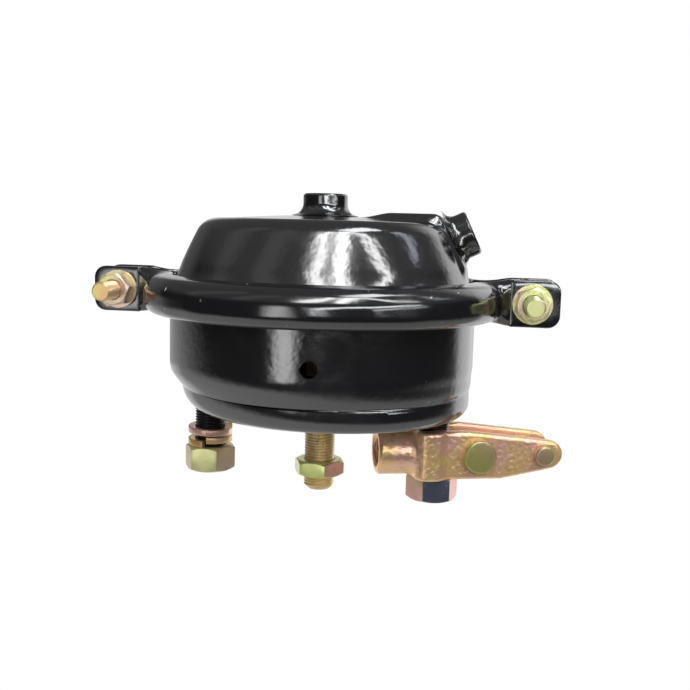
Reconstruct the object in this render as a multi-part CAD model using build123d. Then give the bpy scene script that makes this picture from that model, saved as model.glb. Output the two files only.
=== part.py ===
from build123d import *
from math import atan2, cos, degrees, radians, sin, sqrt, tan
import os

# Air brake chamber with a rolling diaphragm, in millimetres.
# The origin is on the push rod's axis, in the plane of the mounting face.
# +Z points from that face to the air inlet, and the two mounting studs stand on the X axis.

os.makedirs("parts", exist_ok=True)

# ---- clearances -------------------------------------------------------------------
seat_gap = 0.05           # between pieces that are pressed or clamped together
soft_gap = 0.3            # between a rubber piece or a spring and its neighbours
thread_gap = 0.05         # radial, between a plain shaft and the nut or hole around it
pin_gap = 0.08            # radial, between a turning pin and its hole
bolt_hole_gap = 0.5       # radial, around a clamp bolt in its ear
washer_gap = 0.3          # radial, around a clamp bolt in its washer

# ---- housings ---------------------------------------------------------------------
sheet = 3.0               # wall of both pressed steel housings
stud_spacing = 120.65
drum_margin = 18.675      # from a stud's axis out to the lower housing's wall
drum_shoulder_z = 19.5    # where the wall starts to turn in
skirt_crease_z = 14.0     # crease between the shoulder and the narrower foot
skirt_step = 2.2          # foot's wall inside the drum's wall
foot_draw = 0.6           # how much further in the foot would meet the floor
foot_bend_radius = 13.0   # outside of the bend between foot and floor
crease_bend_radius = 14.0     # mid-lines of the soft crease and of the shoulder
shoulder_bend_radius = 18.0
rod_hole_radius = 17.0    # hole in the floor around the push rod
vent_radius = 4.0
vent_z = 31.5
vent_count = 4
vent_azimuth = -85.0      # of the first vent, degrees from +X

dome_rise = 38.5          # outside of the upper housing's flat top above the clamped joint
dome_step = 3.5           # cone inside the drum's wall at the cone's foot
dome_foot_rise = 9.5      # cone's foot above the clamped joint
dome_cone_angle = 25.0    # wall of the cone from the vertical
dome_bend_radius = 11.0   # outside of the bend between cone and top

# ---- clamped joint ----------------------------------------------------------------
joint_z = 59.5            # middle plane of the clamped rim
flange_width = 6.4        # flanges beyond the drum's wall
flange_slope_angle = 8.0  # degrees, so that the ring draws the flanges together
rim_thickness = 4.0       # diaphragm at the flange's outer edge
flange_bend_radius = 2.5  # mid-line, where a wall turns into its flange
rim_bead_width = 5.4      # diaphragm's thick rim

# ---- clamp ring -------------------------------------------------------------------
ring_sheet = 4.0
ring_edge_gap = 3.1       # inside of the ring to the flanges' edges
ring_bend_radius = 8.0    # outside of the channel's two corners
lower_lip_gap = 1.0       # channel's lower arm to the drum's wall
upper_lip_gap = 2.7       # channel's upper arm to the cone's foot
ear_face_y = 12.0         # outer face of an ear from the middle plane
washer_flare_gap = 0.1    # clamp washer to the end of the flare
ear_end_reach = 13.8      # ear beyond the bolt's axis
ear_height = 23.5
ear_corner_radius = 6.0
flare_radius = 8.0        # mid-line radius where the ring turns out into an ear
flare_step_count = 5      # sections through one flare
flare_power = 1.5         # how early the channel's arms shorten along a flare
ear_lip_ratio = 0.9       # arms left at the ear, over the ring's sheet
ear_bend_ratio = 0.55     # their bend, over the ring's sheet

# ---- clamp bolts ------------------------------------------------------------------
clamp_bolt_radius = 5.0
clamp_bolt_end_y = 37.0   # tip of the bolt in front of the middle plane
clamp_bolt_chamfer = 1.0
clamp_head_flats = 17.0
clamp_head_height = 6.4
clamp_washer_radius = 10.0
clamp_washer_thickness = 2.0
clamp_nut_flats = 16.0
clamp_nut_height = 8.6
clamp_nut_angles = (10.0, 20.0)

# ---- ports ------------------------------------------------------------------------
port_boss_radius = 11.5
port_bore_radius = 7.2    # core of the M16 x 1.5 thread
port_hole_radius = 8.6    # hole in the housing's sheet under a boss
port_chamfer = 0.9
top_boss_height = 13.6    # above the dome
top_weld_radius = 17.2
top_weld_height = 4.0
side_port_angle = 25.5    # of the side port's axis above the horizontal
side_port_drop = 8.36     # where that axis meets the raised pad, below the dome's top
side_boss_length = 10.6   # end face to pad
side_weld_radius = 15.0
side_weld_height = 4.0
weld_ratio = 1.1          # radius of a weld bead's hollow over the bead's width
pad_proud = 1.06          # pad's face in front of the cone, on the port's axis
pad_rise = 4.6            # pad's top above the dome's top
pad_length = 42.0         # from the port's axis at the pad's face to the pad's back
pad_half_width = 17.0
pad_edge_radius = 4.0

# ---- inside -----------------------------------------------------------------------
diaphragm_sheet = 3.0
diaphragm_bend_radius = 8.0
push_plate_edge_gap = 1.8 # push plate inside the diaphragm's corner
push_plate_sheet = 3.5
push_plate_lip = 7.0
push_plate_bend_radius = 5.0
rod_collar_radius = 17.0
rod_collar_height = 5.0
brace_sheet = 3.5         # reinforcement plate on the floor
spring_wire = 5.0
spring_stud_gap = 5.3     # spring's lowest turn to the studs' heads
spring_top_radius = 34.0
spring_turns = 4.5

# ---- studs and rod ----------------------------------------------------------------
stud_radius = 8.0
stud_length = 39.6        # below the mounting face
stud_chamfer = 1.2
stud_head_gap = 8.2       # stud's head to the outside of the drum's wall
stud_head_height = 5.0
nut_flats = 24.0
nut_height = 13.1
nut_rounding_angle = 30.0 # chamfer that rounds off every nut's corners
nut_face_ratio = 0.96      # circle left flat on a nut's end, over its width across flats
nut_mouth = 0.8           # countersink of a nut's hole
left_nut_top_z = -24.0
left_nut_angle = 14.0
right_nut_angle = -13.0
lock_washer_radius = 12.2
lock_washer_inner = 8.25
lock_washer_thickness = 3.4
lock_washer_rise = 2.4
lock_washer_arc_angle = 350.0 # turn between the washer's two ends
lower_washer_angle = -100.0
upper_washer_angle = -20.0
rod_radius = 8.0
rod_end_z = -44.1
rod_chamfer = 2.2
jam_nut_height = 8.0
jam_nut_top_z = -28.3
jam_nut_angle = 17.0

# ---- yoke and its pins ------------------------------------------------------------
yoke_angle = 17.0          # fork's direction from +X, about the right stud
yoke_half_height = 12.5
yoke_top_z = -7.4
fork_wall = 5.8           # thickness of each ear
fork_stud_gap = 0.5       # each ear to the stud
crotch_gap = 0.6          # fork's closed end to the stud
crotch_bend_radius = 2.5
yoke_boss_inset = 0.2     # round boss inside the yoke's height, on each side
yoke_boss_reach = 30.7    # from the stud's axis to the boss's open end
yoke_boss_chamfer = 1.4
yoke_boss_bore = 7.2      # core of the M16 x 1.5 thread
fork_full_reach = 15.0    # where the ears start to taper
big_pin_reach = 20.5
pin_spacing = 34.9
fork_tip_reach = 56.6
fork_tip_radius = 8.0
yoke_edge_radius = 1.2
big_pin_radius = 6.35
big_head_radius = 8.6
big_head_height = 4.0
small_pin_radius = 3.2
small_head_radius = 5.2
small_head_height = 3.6
head_edge = 0.7
pin_tail = 6.5            # pin beyond the far ear
split_pin_setback = 2.6   # split pin's axis beyond the far ear
big_split_radius = 1.6
small_split_radius = 1.0
split_leg_drop = 5.0      # split pin's leg beyond the pin's surface
split_eye_ratio = 1.9      # mid-line radius of the eye, over the leg's radius
split_wire_ratio = 0.8      # radius of the eye's wire, over the leg's radius

# ---- worked out -------------------------------------------------------------------
slope = tan(radians(flange_slope_angle))
cone = tan(radians(dome_cone_angle))
stud_x = stud_spacing / 2
drum_radius = stud_x + drum_margin
drum_mid_radius = drum_radius - sheet / 2
skirt_radius = drum_radius - skirt_step
foot_radius = skirt_radius - foot_draw
dome_base_radius = drum_radius - dome_step
dome_base_z = joint_z + dome_foot_rise
dome_height = joint_z + dome_rise
flange_radius = drum_radius + flange_width
flange_half_gap = rim_thickness / 2
flange_mid = flange_half_gap + sheet / 2 / cos(radians(flange_slope_angle))
rim_bead_radius = flange_radius - rim_bead_width
ring_mid = flange_mid + (sheet / 2 + seat_gap + ring_sheet / 2) / cos(radians(flange_slope_angle))
ring_radius = flange_radius + ring_edge_gap + ring_sheet
channel_reach = ring_radius - ring_sheet / 2
ring_lower_lip = drum_radius + lower_lip_gap
ring_upper_lip = dome_base_radius + upper_lip_gap
flare_y = ring_sheet / 2 - ear_face_y - flare_radius
flare_x = sqrt((channel_reach + flare_radius) ** 2 - flare_y ** 2)
flare_centre = Vector(flare_x, flare_y)
clamp_bolt_x = flare_x + clamp_washer_radius + washer_flare_gap
ear_reach = clamp_bolt_x + ear_end_reach
floor_top_z = sheet
brace_radius = foot_radius - foot_bend_radius - soft_gap
brace_top_z = floor_top_z + brace_sheet
plate_inset = sheet + soft_gap + diaphragm_sheet + soft_gap
plate_top_z = dome_height - plate_inset
plate_under_z = plate_top_z - push_plate_sheet
stud_head_radius = drum_margin - stud_head_gap
spring_foot_radius = stud_x - stud_head_radius - spring_stud_gap - spring_wire / 2
port_axis = Vector(cos(radians(side_port_angle)), 0, sin(radians(side_port_angle)))
pad_face_z = dome_height - side_port_drop
pad_face_x = dome_base_radius - cone * (pad_face_z - dome_base_z) + pad_proud
pad_face = Vector(pad_face_x, 0, pad_face_z)
pad_top_z = dome_height + pad_rise
yoke_z = yoke_top_z - yoke_half_height
yoke_boss_radius = yoke_half_height - yoke_boss_inset
fork_half_gap = stud_radius + fork_stud_gap
yoke_half_width = fork_half_gap + fork_wall
crotch_setback = stud_radius + crotch_gap
small_pin_reach = big_pin_reach + pin_spacing
upright = (Align.CENTER, Align.CENTER, Align.MIN)
fork_frame = Location((stud_x, 0, yoke_z), (0, 0, yoke_angle))


def save(name, *solids):
    """Write the solids of one sub-part to its own file."""
    shape = solids[0] if len(solids) == 1 else Compound(children=list(solids))
    export_step(shape, f"parts/{name}.step")


def beside(corners, distance):
    """Corners of the line that runs at a distance to the left of a line."""
    spots = [Vector(*corner) for corner in corners]
    ways = [(b - a).normalized() for a, b in zip(spots, spots[1:])]
    normals = [Vector(-way.Y, way.X) for way in ways]
    befores = [normals[0]] + normals
    afters = normals + [normals[-1]]
    moved = []
    for spot, before, after in zip(spots, befores, afters):
        moved.append(spot + (before + after) * (distance / (1 + before.dot(after))))
    return moved


def turn_signs(corners):
    """+1 where a line turns left at a corner, -1 where it turns right."""
    spots = [Vector(*corner) for corner in corners]
    signs = []
    for a, b, c in zip(spots, spots[1:], spots[2:]):
        signs.append(1 if (b - a).cross(c - b).Z > 0 else -1)
    return signs


def sheet_section(corners, bends, thickness):
    """Face of bent sheet: mid-line corners, mid-line bend radii, and the sheet's thickness."""
    half = thickness / 2
    signs = turn_signs(corners)
    left = beside(corners, half)
    right = beside(corners, -half)
    left_bends = [bend - half * sign for bend, sign in zip(bends, signs)]
    right_bends = [bend + half * sign for bend, sign in zip(bends, signs)]
    line = FilletPolyline(
        *left, *reversed(right),
        radius=[0, *left_bends, 0, 0, *reversed(right_bends), 0],
        close=True,
    )
    return make_face(line)


def spun(section, angle=360):
    """Solid of a section drawn as (radius, height), turned about the push rod's axis."""
    return revolve(Plane.XZ * section, Axis.Z, angle)


def hexagon(flats, height, bore):
    """Nut from z = 0 up, with its corners rounded off at both ends and its hole's mouths countersunk."""
    corner = flats / sqrt(3)
    outside = corner + seat_gap
    face = flats / 2 * nut_face_ratio
    drop = (corner - flats / 2) * tan(radians(nut_rounding_angle))
    rounding = Polyline(
        (0, 0), (face, 0), (outside, drop), (outside, height - drop), (face, height), (0, height),
        close=True,
    )
    body = extrude(RegularPolygon(corner, 6), height) & spun(make_face(rounding))
    if bore:
        mouth = Cone(bore + nut_mouth, bore, nut_mouth, align=upright)
        body -= Cylinder(bore, height, align=upright)
        body -= mouth
        body -= Pos(0, 0, height) * Rot(180, 0, 0) * mouth
    return body


def rod(radius, start_z, end_z, chamfer_size):
    """Round bar along Z with its lower end chamfered."""
    bar = Cylinder(radius, end_z - start_z, align=upright)
    low_edge = bar.edges().filter_by(GeomType.CIRCLE).sort_by(Axis.Z)[0]
    return Pos(0, 0, start_z) * chamfer(low_edge, chamfer_size)


# ---- housings ---------------------------------------------------------------------
def lower_housing():
    half = sheet / 2
    flange_low_z = joint_z - flange_mid - slope * (flange_radius - drum_mid_radius)
    line = [
        (rod_hole_radius, half),
        (foot_radius - half, half),
        (skirt_radius - half, skirt_crease_z),
        (drum_mid_radius, drum_shoulder_z),
        (drum_mid_radius, flange_low_z),
        (flange_radius, joint_z - flange_mid),
    ]
    bends = [foot_bend_radius - half, crease_bend_radius, shoulder_bend_radius, flange_bend_radius]
    body = spun(sheet_section(line, bends, sheet))
    for side in (-1, 1):
        body -= Pos(side * stud_x, 0, half) * Cylinder(stud_radius + seat_gap, 2 * sheet)
    vent = Cylinder(vent_radius, 3 * sheet)
    for step in range(vent_count):
        azimuth = vent_azimuth + step * 360 / vent_count
        body -= Rot(0, 0, azimuth) * Pos(drum_mid_radius, 0, vent_z) * Rot(0, 90, 0) * vent
    return body


def dome_line(inset):
    """Mid-line corners of a sheet that runs inside the dome's skin at a distance, without its flange."""
    side_shift = inset / cos(radians(dome_cone_angle))
    top_z = dome_height - inset
    top_radius = dome_base_radius - side_shift - cone * (top_z - dome_base_z)
    return top_z, top_radius, side_shift


def pad_solid(inset):
    """Raised pad on the dome that carries the side port, shrunk by a distance."""
    half_width = pad_half_width - inset
    top_z = pad_top_z - inset
    centre_x = pad_face_x - pad_length + inset + half_width
    base_z = dome_base_z + sheet
    outline = Pos(centre_x, 0) * Circle(half_width)
    outline += Pos(centre_x, 0) * Rectangle(
        2 * pad_length, 2 * half_width, align=(Align.MIN, Align.CENTER))
    block = Pos(0, 0, base_z) * extrude(outline, top_z - base_z)
    front = Plane(pad_face - port_axis * inset, z_dir=port_axis)
    block = split(block, bisect_by=front, keep=Keep.BOTTOM)
    front_face = block.faces().sort_by(Axis(pad_face, port_axis))[-1]
    roof = block.faces().filter_by(Axis.Z).sort_by(Axis.Z)[-1]
    low_edge = front_face.edges().sort_by(Axis.Z)[0]
    edges = roof.edges() + [edge for edge in front_face.edges() if edge != low_edge]
    return fillet(edges, pad_edge_radius - inset / 2)


def dome_body(inset, flange_line):
    """Solid dome shape shrunk by a distance, open edge down to the flange's line."""
    top_z, top_radius, side_shift = dome_line(inset)
    corner_z = flange_line
    corner_radius = dome_base_radius - side_shift - cone * (corner_z - dome_base_z)
    line = FilletPolyline(
        (0, corner_z), (corner_radius, corner_z), (top_radius, top_z), (0, top_z),
        radius=[0, 0, dome_bend_radius - inset, 0], close=True,
    )
    return spun(make_face(line))


def upper_housing():
    half = sheet / 2
    top_z, top_radius, side_shift = dome_line(half)
    # the flange's mid-line meets the cone's mid-line here
    rim_z = joint_z + flange_mid
    meet_radius = (dome_base_radius - side_shift + cone * (dome_base_z - rim_z - slope * flange_radius)) \
        / (1 - cone * slope)
    meet_z = rim_z + slope * (flange_radius - meet_radius)
    line = [(0, top_z), (top_radius, top_z), (meet_radius, meet_z), (flange_radius, rim_z)]
    shell = spun(sheet_section(line, [dome_bend_radius - half, flange_bend_radius], sheet))
    pad = pad_solid(0) - dome_body(0, dome_base_z)
    body = shell + pad
    body -= pad_solid(sheet) & (Pos(0, 0, dome_base_z + sheet + soft_gap) * Cylinder(
        2 * drum_radius, pad_top_z, align=upright))
    body -= Pos(0, 0, dome_height) * Cylinder(port_hole_radius, 3 * sheet)
    body -= on_pad(Cylinder(port_hole_radius, 6 * sheet))
    return body


def on_pad(shape):
    """Shape drawn from z = 0 up, placed on the pad's face along the side port's axis."""
    return Plane(pad_face, z_dir=port_axis) * shape


def port_boss(height, weld_radius, weld_height):
    """Threaded boss standing on z = 0 with its weld bead around the foot."""
    foot = Line((port_bore_radius, 0), (weld_radius, 0))
    hollow = weld_ratio * (weld_radius - port_boss_radius)
    bead = RadiusArc((weld_radius, 0), (port_boss_radius, weld_height), -hollow)
    wall = Polyline(
        (port_boss_radius, weld_height), (port_boss_radius, height - port_chamfer),
        (port_boss_radius - port_chamfer, height), (port_bore_radius + port_chamfer, height),
        (port_bore_radius, height - port_chamfer), (port_bore_radius, 0))
    return spun(make_face(foot + bead + wall))


# ---- clamp ring -------------------------------------------------------------------
def channel_line(reach_low, reach_high):
    """Mid-line corners of the ring's channel between its two inner edges."""
    return [
        (reach_low, joint_z - ring_mid - slope * (flange_radius - reach_low)),
        (channel_reach, joint_z - ring_mid + slope * (channel_reach - flange_radius)),
        (channel_reach, joint_z + ring_mid - slope * (channel_reach - flange_radius)),
        (reach_high, joint_z + ring_mid + slope * (flange_radius - reach_high)),
    ]


def flare_section(part):
    """Channel section where the ring has turned out by a part (0 to 1) of its way into the ear."""
    ease = part * part * (3 - 2 * part)
    left = (1 - ease) ** flare_power
    lip = ear_lip_ratio * ring_sheet * ease
    arms = [(channel_reach - edge) * left + lip for edge in (ring_lower_lip, ring_upper_lip)]
    line = channel_line(channel_reach - arms[0], channel_reach - arms[1])
    grow = (ear_height - ring_sheet) / 2 * ease
    corners = []
    for reach, z in line:
        away = 1 if z > joint_z else -1
        corners.append((reach - channel_reach, (z - joint_z) * (1 - ease) + grow * away))
    bend = (ring_bend_radius - ring_sheet / 2) * (1 - ease) + ear_bend_ratio * ring_sheet * ease
    return sheet_section(corners, [bend, bend], ring_sheet)


def flare():
    """Blend between the ring and its right front ear, round an arc."""
    start = degrees(atan2(-flare_y, -flare_x))
    sections = []
    for step in range(flare_step_count):
        part = step / (flare_step_count - 1)
        angle = radians(start + (90 - start) * part)
        spot = flare_centre + Vector(cos(angle), sin(angle)) * flare_radius
        outward = Vector(-cos(angle), -sin(angle))
        plane = Plane(
            origin=(spot.X, spot.Y, joint_z), x_dir=outward, z_dir=outward.cross(Vector(0, 0, 1)))
        sections.append(plane * flare_section(part))
    return loft(sections)


def ear():
    """Flat ear with a bolt hole, on the right of the front half."""
    plate = Pos(flare_x, 0) * Rectangle(
        ear_reach - flare_x, ear_height, align=(Align.MIN, Align.CENTER))
    far = plate.vertices().sort_by(Axis.X)[-2:]
    plate = fillet(far, ear_corner_radius)
    plate -= Pos(clamp_bolt_x, 0) * Circle(clamp_bolt_radius + bolt_hole_gap)
    plane = Plane(origin=(0, -ear_face_y, joint_z), x_dir=(1, 0, 0), z_dir=(0, -1, 0))
    return extrude(plane * plate, -ring_sheet)


def clamp_half():
    """Front half of the clamp ring, with both ears."""
    leave = degrees(atan2(-flare_y, flare_x))
    section = sheet_section(
        channel_line(ring_lower_lip, ring_upper_lip), [ring_bend_radius - ring_sheet / 2] * 2, ring_sheet)
    ring = Rot(0, 0, 180 + leave) * spun(section, 180 - 2 * leave)
    end = flare() + ear()
    return ring + end + mirror(end, Plane.YZ)


# ---- clamp bolts ------------------------------------------------------------------
def facing_front(x, y, shape):
    """Shape drawn upward from z = 0, laid down to point at the front from a given place."""
    return Pos(x, -y, joint_z) * Rot(90, 0, 0) * shape


def clamp_bolt(x):
    shank = rod(clamp_bolt_radius, -clamp_bolt_end_y, ear_face_y, clamp_bolt_chamfer)
    head = hexagon(clamp_head_flats, clamp_head_height, 0)
    return Pos(x, 0, joint_z) * Rot(-90, 0, 0) * (shank + Pos(0, 0, ear_face_y) * head)


def clamp_washer(x):
    ring = Cylinder(clamp_washer_radius, clamp_washer_thickness, align=upright)
    ring -= Cylinder(clamp_bolt_radius + washer_gap, 3 * clamp_washer_thickness)
    return facing_front(x, ear_face_y, ring)


def clamp_nut(x, turn):
    nut = Rot(0, 0, turn) * hexagon(clamp_nut_flats, clamp_nut_height, clamp_bolt_radius + thread_gap)
    return facing_front(x, ear_face_y + clamp_washer_thickness, nut)


# ---- inside -----------------------------------------------------------------------
def diaphragm():
    half = diaphragm_sheet / 2
    top_z, top_radius, side_shift = dome_line(sheet + soft_gap + half)
    foot_radius_mid = dome_base_radius - side_shift - cone * (joint_z - dome_base_z)
    line = [(0, top_z), (top_radius, top_z), (foot_radius_mid, joint_z), (flange_radius - half, joint_z)]
    cup = spun(sheet_section(line, [diaphragm_bend_radius, diaphragm_bend_radius / 2], diaphragm_sheet))
    edge_half = flange_half_gap - seat_gap
    root_half = edge_half + slope * (flange_radius - rim_bead_radius)
    rim = Polyline(
        (rim_bead_radius, joint_z - root_half), (flange_radius, joint_z - edge_half),
        (flange_radius, joint_z + edge_half), (rim_bead_radius, joint_z + root_half),
        close=True,
    )
    return cup + spun(make_face(rim))


def push_plate():
    half = push_plate_sheet / 2
    mid_z = plate_top_z - half
    edge_radius = dome_line(plate_inset)[1] - push_plate_edge_gap - half
    line = [(rod_radius + seat_gap, mid_z), (edge_radius, mid_z), (edge_radius, mid_z - push_plate_lip)]
    return spun(sheet_section(line, [push_plate_bend_radius], push_plate_sheet))


def push_rod():
    bar = rod(rod_radius, rod_end_z, plate_top_z, rod_chamfer)
    collar = Pos(0, 0, plate_under_z - rod_collar_height) * Cylinder(
        rod_collar_radius, rod_collar_height, align=upright)
    low_edge = collar.edges().filter_by(GeomType.CIRCLE).sort_by(Axis.Z)[0]
    return bar + chamfer(low_edge, rod_collar_height / 2)


def brace():
    ring = Circle(brace_radius) - Circle(rod_hole_radius)
    for side in (-1, 1):
        ring -= Pos(side * stud_x, 0) * Circle(stud_radius + seat_gap)
    return Pos(0, 0, floor_top_z) * extrude(ring, brace_sheet)


def return_spring():
    """Conical spring with ground ends, between the reinforcement plate and the push plate."""
    wire = spring_wire / 2
    low = brace_top_z + seat_gap
    high = plate_under_z - soft_gap
    height = high - low
    taper = degrees(atan2(spring_top_radius - spring_foot_radius, height))
    path = Helix(height / spring_turns, height, spring_foot_radius, cone_angle=taper)
    start = Plane(origin=path @ 0, z_dir=path % 0)
    coil = Pos(0, 0, low) * sweep(start * Circle(wire), path)
    slab = Pos(0, 0, low) * Cylinder(
        spring_foot_radius + spring_wire, height, align=upright)
    return coil & slab


# ---- studs and what hangs on them -------------------------------------------------
def stud(x):
    shank = rod(stud_radius, -stud_length, brace_top_z, stud_chamfer)
    head = Pos(0, 0, brace_top_z) * Cylinder(
        stud_head_radius, stud_head_height, align=upright)
    return Pos(x, 0, 0) * (shank + head)


def stud_nut(x, top_z, turn):
    nut = hexagon(nut_flats, nut_height, stud_radius + thread_gap)
    return Pos(x, 0, top_z - nut_height) * Rot(0, 0, turn) * nut


def lock_washer(bottom_z, turn):
    """Split spring washer with its ends sprung apart."""
    width = lock_washer_radius - lock_washer_inner
    mid_radius = (lock_washer_radius + lock_washer_inner) / 2
    path = Helix(lock_washer_rise * 360 / lock_washer_arc_angle, lock_washer_rise, mid_radius)
    start = Plane(origin=path @ 0, x_dir=(1, 0, 0), z_dir=(0, 1, 0))
    ring = sweep(start * Rectangle(width, lock_washer_thickness), path, is_frenet=True)
    ring = Pos(0, 0, bottom_z + lock_washer_thickness / 2) * Rot(0, 0, turn) * ring
    return Pos(-stud_x, 0, 0) * ring


# ---- yoke -------------------------------------------------------------------------
def yoke():
    """Fork lying under the housing, drawn with its stud at the origin and its ears along +X."""
    plan = Circle(yoke_half_width) + Rectangle(
        fork_tip_reach + fork_tip_radius, 2 * yoke_half_width, align=(Align.MIN, Align.CENTER))
    body = Pos(0, 0, -yoke_half_height) * extrude(plan, 2 * yoke_half_height)
    root = Pos((fork_full_reach - yoke_half_width) / 2, 0) * Rectangle(
        yoke_half_width + fork_full_reach, 2 * yoke_half_height)
    tip = Pos(fork_tip_reach, 0) * Circle(fork_tip_radius)
    profile = make_hull(root.edges() + tip.edges())
    side_view = extrude(Plane.XZ * profile, yoke_half_width, both=True)
    body = body & side_view
    boss = Pos(-yoke_boss_reach, 0, 0) * Rot(0, 90, 0) * Cylinder(
        yoke_boss_radius, yoke_boss_reach, align=upright)
    mouth = boss.edges().filter_by(GeomType.CIRCLE).sort_by(Axis.X)[0]
    body += chamfer(mouth, yoke_boss_chamfer)
    gap = Rectangle(2 * fork_tip_reach, 2 * fork_half_gap, align=(Align.MIN, Align.CENTER))
    gap = fillet(gap.vertices().sort_by(Axis.X)[:2], crotch_bend_radius)
    body -= Pos(-crotch_setback, 0, -2 * yoke_half_height) * extrude(gap, 4 * yoke_half_height)
    body -= Pos(-yoke_boss_reach, 0, 0) * Rot(0, 90, 0) * Cylinder(
        yoke_boss_bore, yoke_boss_reach, align=upright)
    sides = body.faces().filter_by(Axis.Y).sort_by(Axis.Y)
    body = fillet(sides[0].edges() + sides[-1].edges(), yoke_edge_radius)
    across = Rot(90, 0, 0)
    body -= Pos(big_pin_reach, 0, 0) * across * Cylinder(big_pin_radius + pin_gap, 4 * yoke_half_width)
    body -= Pos(small_pin_reach, 0, 0) * across * Cylinder(
        small_pin_radius + pin_gap, 4 * yoke_half_width)
    return fork_frame * body


def fork_pin(reach, radius, head_radius, head_height, split_radius):
    """Headed pin through both ears, head at the front, with a cross hole for its split pin."""
    length = 2 * yoke_half_width + pin_tail + soft_gap
    pin = Cylinder(radius, length, align=upright)
    tail = pin.edges().filter_by(GeomType.CIRCLE).sort_by(Axis.Z)[-1]
    pin = chamfer(tail, head_edge)
    head = Cylinder(head_radius, head_height, align=(Align.CENTER, Align.CENTER, Align.MAX))
    crown = head.edges().filter_by(GeomType.CIRCLE).sort_by(Axis.Z)[0]
    pin += chamfer(crown, head_edge)
    hole_z = 2 * yoke_half_width + soft_gap + split_pin_setback
    pin -= Pos(0, 0, hole_z) * Rot(90, 0, 0) * Cylinder(split_radius + seat_gap, 4 * radius)
    return fork_frame * Pos(reach, -yoke_half_width - soft_gap, 0) * Rot(-90, 0, 0) * pin


def split_pin(reach, radius, split_radius):
    """Split pin: ring eye above the pin, one leg down through it."""
    eye_radius = split_eye_ratio * split_radius
    eye_wire = split_wire_ratio * split_radius
    drop = radius + split_leg_drop
    leg = Pos(0, 0, -drop) * Cylinder(split_radius, drop + radius + eye_wire + seat_gap, align=upright)
    eye_z = radius + seat_gap + eye_wire + eye_radius
    eye = Pos(0, 0, eye_z) * Rot(90, 0, 0) * Torus(eye_radius, eye_wire)
    across = yoke_half_width + split_pin_setback
    return fork_frame * Pos(reach, across, 0) * (leg + eye)


# ---- write every piece ------------------------------------------------------------
front_half = clamp_half()
save("non_pressure_housing", lower_housing())
save("pressure_housing", upper_housing())
top_boss = port_boss(top_boss_height, top_weld_radius, top_weld_height)
save("top_port_boss", Pos(0, 0, dome_height) * top_boss)
save("side_port_boss", on_pad(port_boss(side_boss_length, side_weld_radius, side_weld_height)))
save("clamp_band_front", front_half)
save("clamp_band_rear", Rot(0, 0, 180) * front_half)
for place, sign, turn in zip(("left", "right"), (-1, 1), clamp_nut_angles):
    save(f"clamp_bolt_{place}", clamp_bolt(sign * clamp_bolt_x))
    save(f"clamp_washer_{place}", clamp_washer(sign * clamp_bolt_x))
    save(f"clamp_nut_{place}", clamp_nut(sign * clamp_bolt_x, turn))
    save(f"stud_{place}", stud(sign * stud_x))
save("diaphragm", diaphragm())
save("push_plate", push_plate())
save("push_rod", push_rod())
save("jam_nut", Pos(0, 0, jam_nut_top_z - jam_nut_height) * Rot(0, 0, jam_nut_angle) * hexagon(
    nut_flats, jam_nut_height, rod_radius + thread_gap))
save("reinforcement_plate", brace())
save("return_spring", return_spring())
save("stud_nut_left", stud_nut(-stud_x, left_nut_top_z, left_nut_angle))
save("stud_nut_right", stud_nut(stud_x, yoke_z - yoke_half_height - seat_gap, right_nut_angle))
washer_step = lock_washer_thickness + lock_washer_rise
save("lock_washer_lower", lock_washer(left_nut_top_z + seat_gap, lower_washer_angle))
save("lock_washer_upper", lock_washer(left_nut_top_z + washer_step + 2 * seat_gap, upper_washer_angle))
save("yoke", yoke())
save("clevis_pin", fork_pin(
    big_pin_reach, big_pin_radius, big_head_radius, big_head_height, big_split_radius))
save("link_pin", fork_pin(
    small_pin_reach, small_pin_radius, small_head_radius, small_head_height, small_split_radius))
save("clevis_split_pin", split_pin(big_pin_reach, big_pin_radius, big_split_radius))
save("link_split_pin", split_pin(small_pin_reach, small_pin_radius, small_split_radius))
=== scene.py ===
import bpy
import bmesh
import math
import numpy as np
from mathutils import Matrix, Vector


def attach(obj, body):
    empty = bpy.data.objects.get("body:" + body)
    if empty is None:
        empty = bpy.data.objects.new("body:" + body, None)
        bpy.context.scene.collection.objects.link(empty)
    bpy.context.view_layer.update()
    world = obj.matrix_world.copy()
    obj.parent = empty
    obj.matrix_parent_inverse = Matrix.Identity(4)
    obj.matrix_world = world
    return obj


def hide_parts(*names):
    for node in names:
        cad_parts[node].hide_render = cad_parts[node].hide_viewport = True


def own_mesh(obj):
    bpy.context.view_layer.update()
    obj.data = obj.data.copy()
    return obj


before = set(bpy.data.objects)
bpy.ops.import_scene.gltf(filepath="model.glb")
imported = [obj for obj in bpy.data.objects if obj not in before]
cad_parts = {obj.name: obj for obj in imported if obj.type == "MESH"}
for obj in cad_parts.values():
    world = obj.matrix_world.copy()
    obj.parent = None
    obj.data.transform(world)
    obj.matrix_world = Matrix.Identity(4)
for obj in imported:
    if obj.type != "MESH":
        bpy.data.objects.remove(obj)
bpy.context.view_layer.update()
scene = bpy.context.scene
mm = 0.001
pitch = 1.5  # of every thread
print("stage: frame loaded,", len(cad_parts), "nodes")


# lines and sections
def unit(v):
    return v / np.linalg.norm(v, axis=-1, keepdims=True)


def eased(t):
    # from 0 to 1, level at both ends: t * t * (3 - 2 t)
    return t * t * (3 - 2 * t)


def roundAngles(count):
    return 2 * math.pi * np.arange(count) / count


def cylindrical(r, t, z):
    # points at radius r, angle t and height z: x = r cos t, y = r sin t
    return np.stack(np.broadcast_arrays(r * np.cos(t), r * np.sin(t), z), -1)


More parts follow.
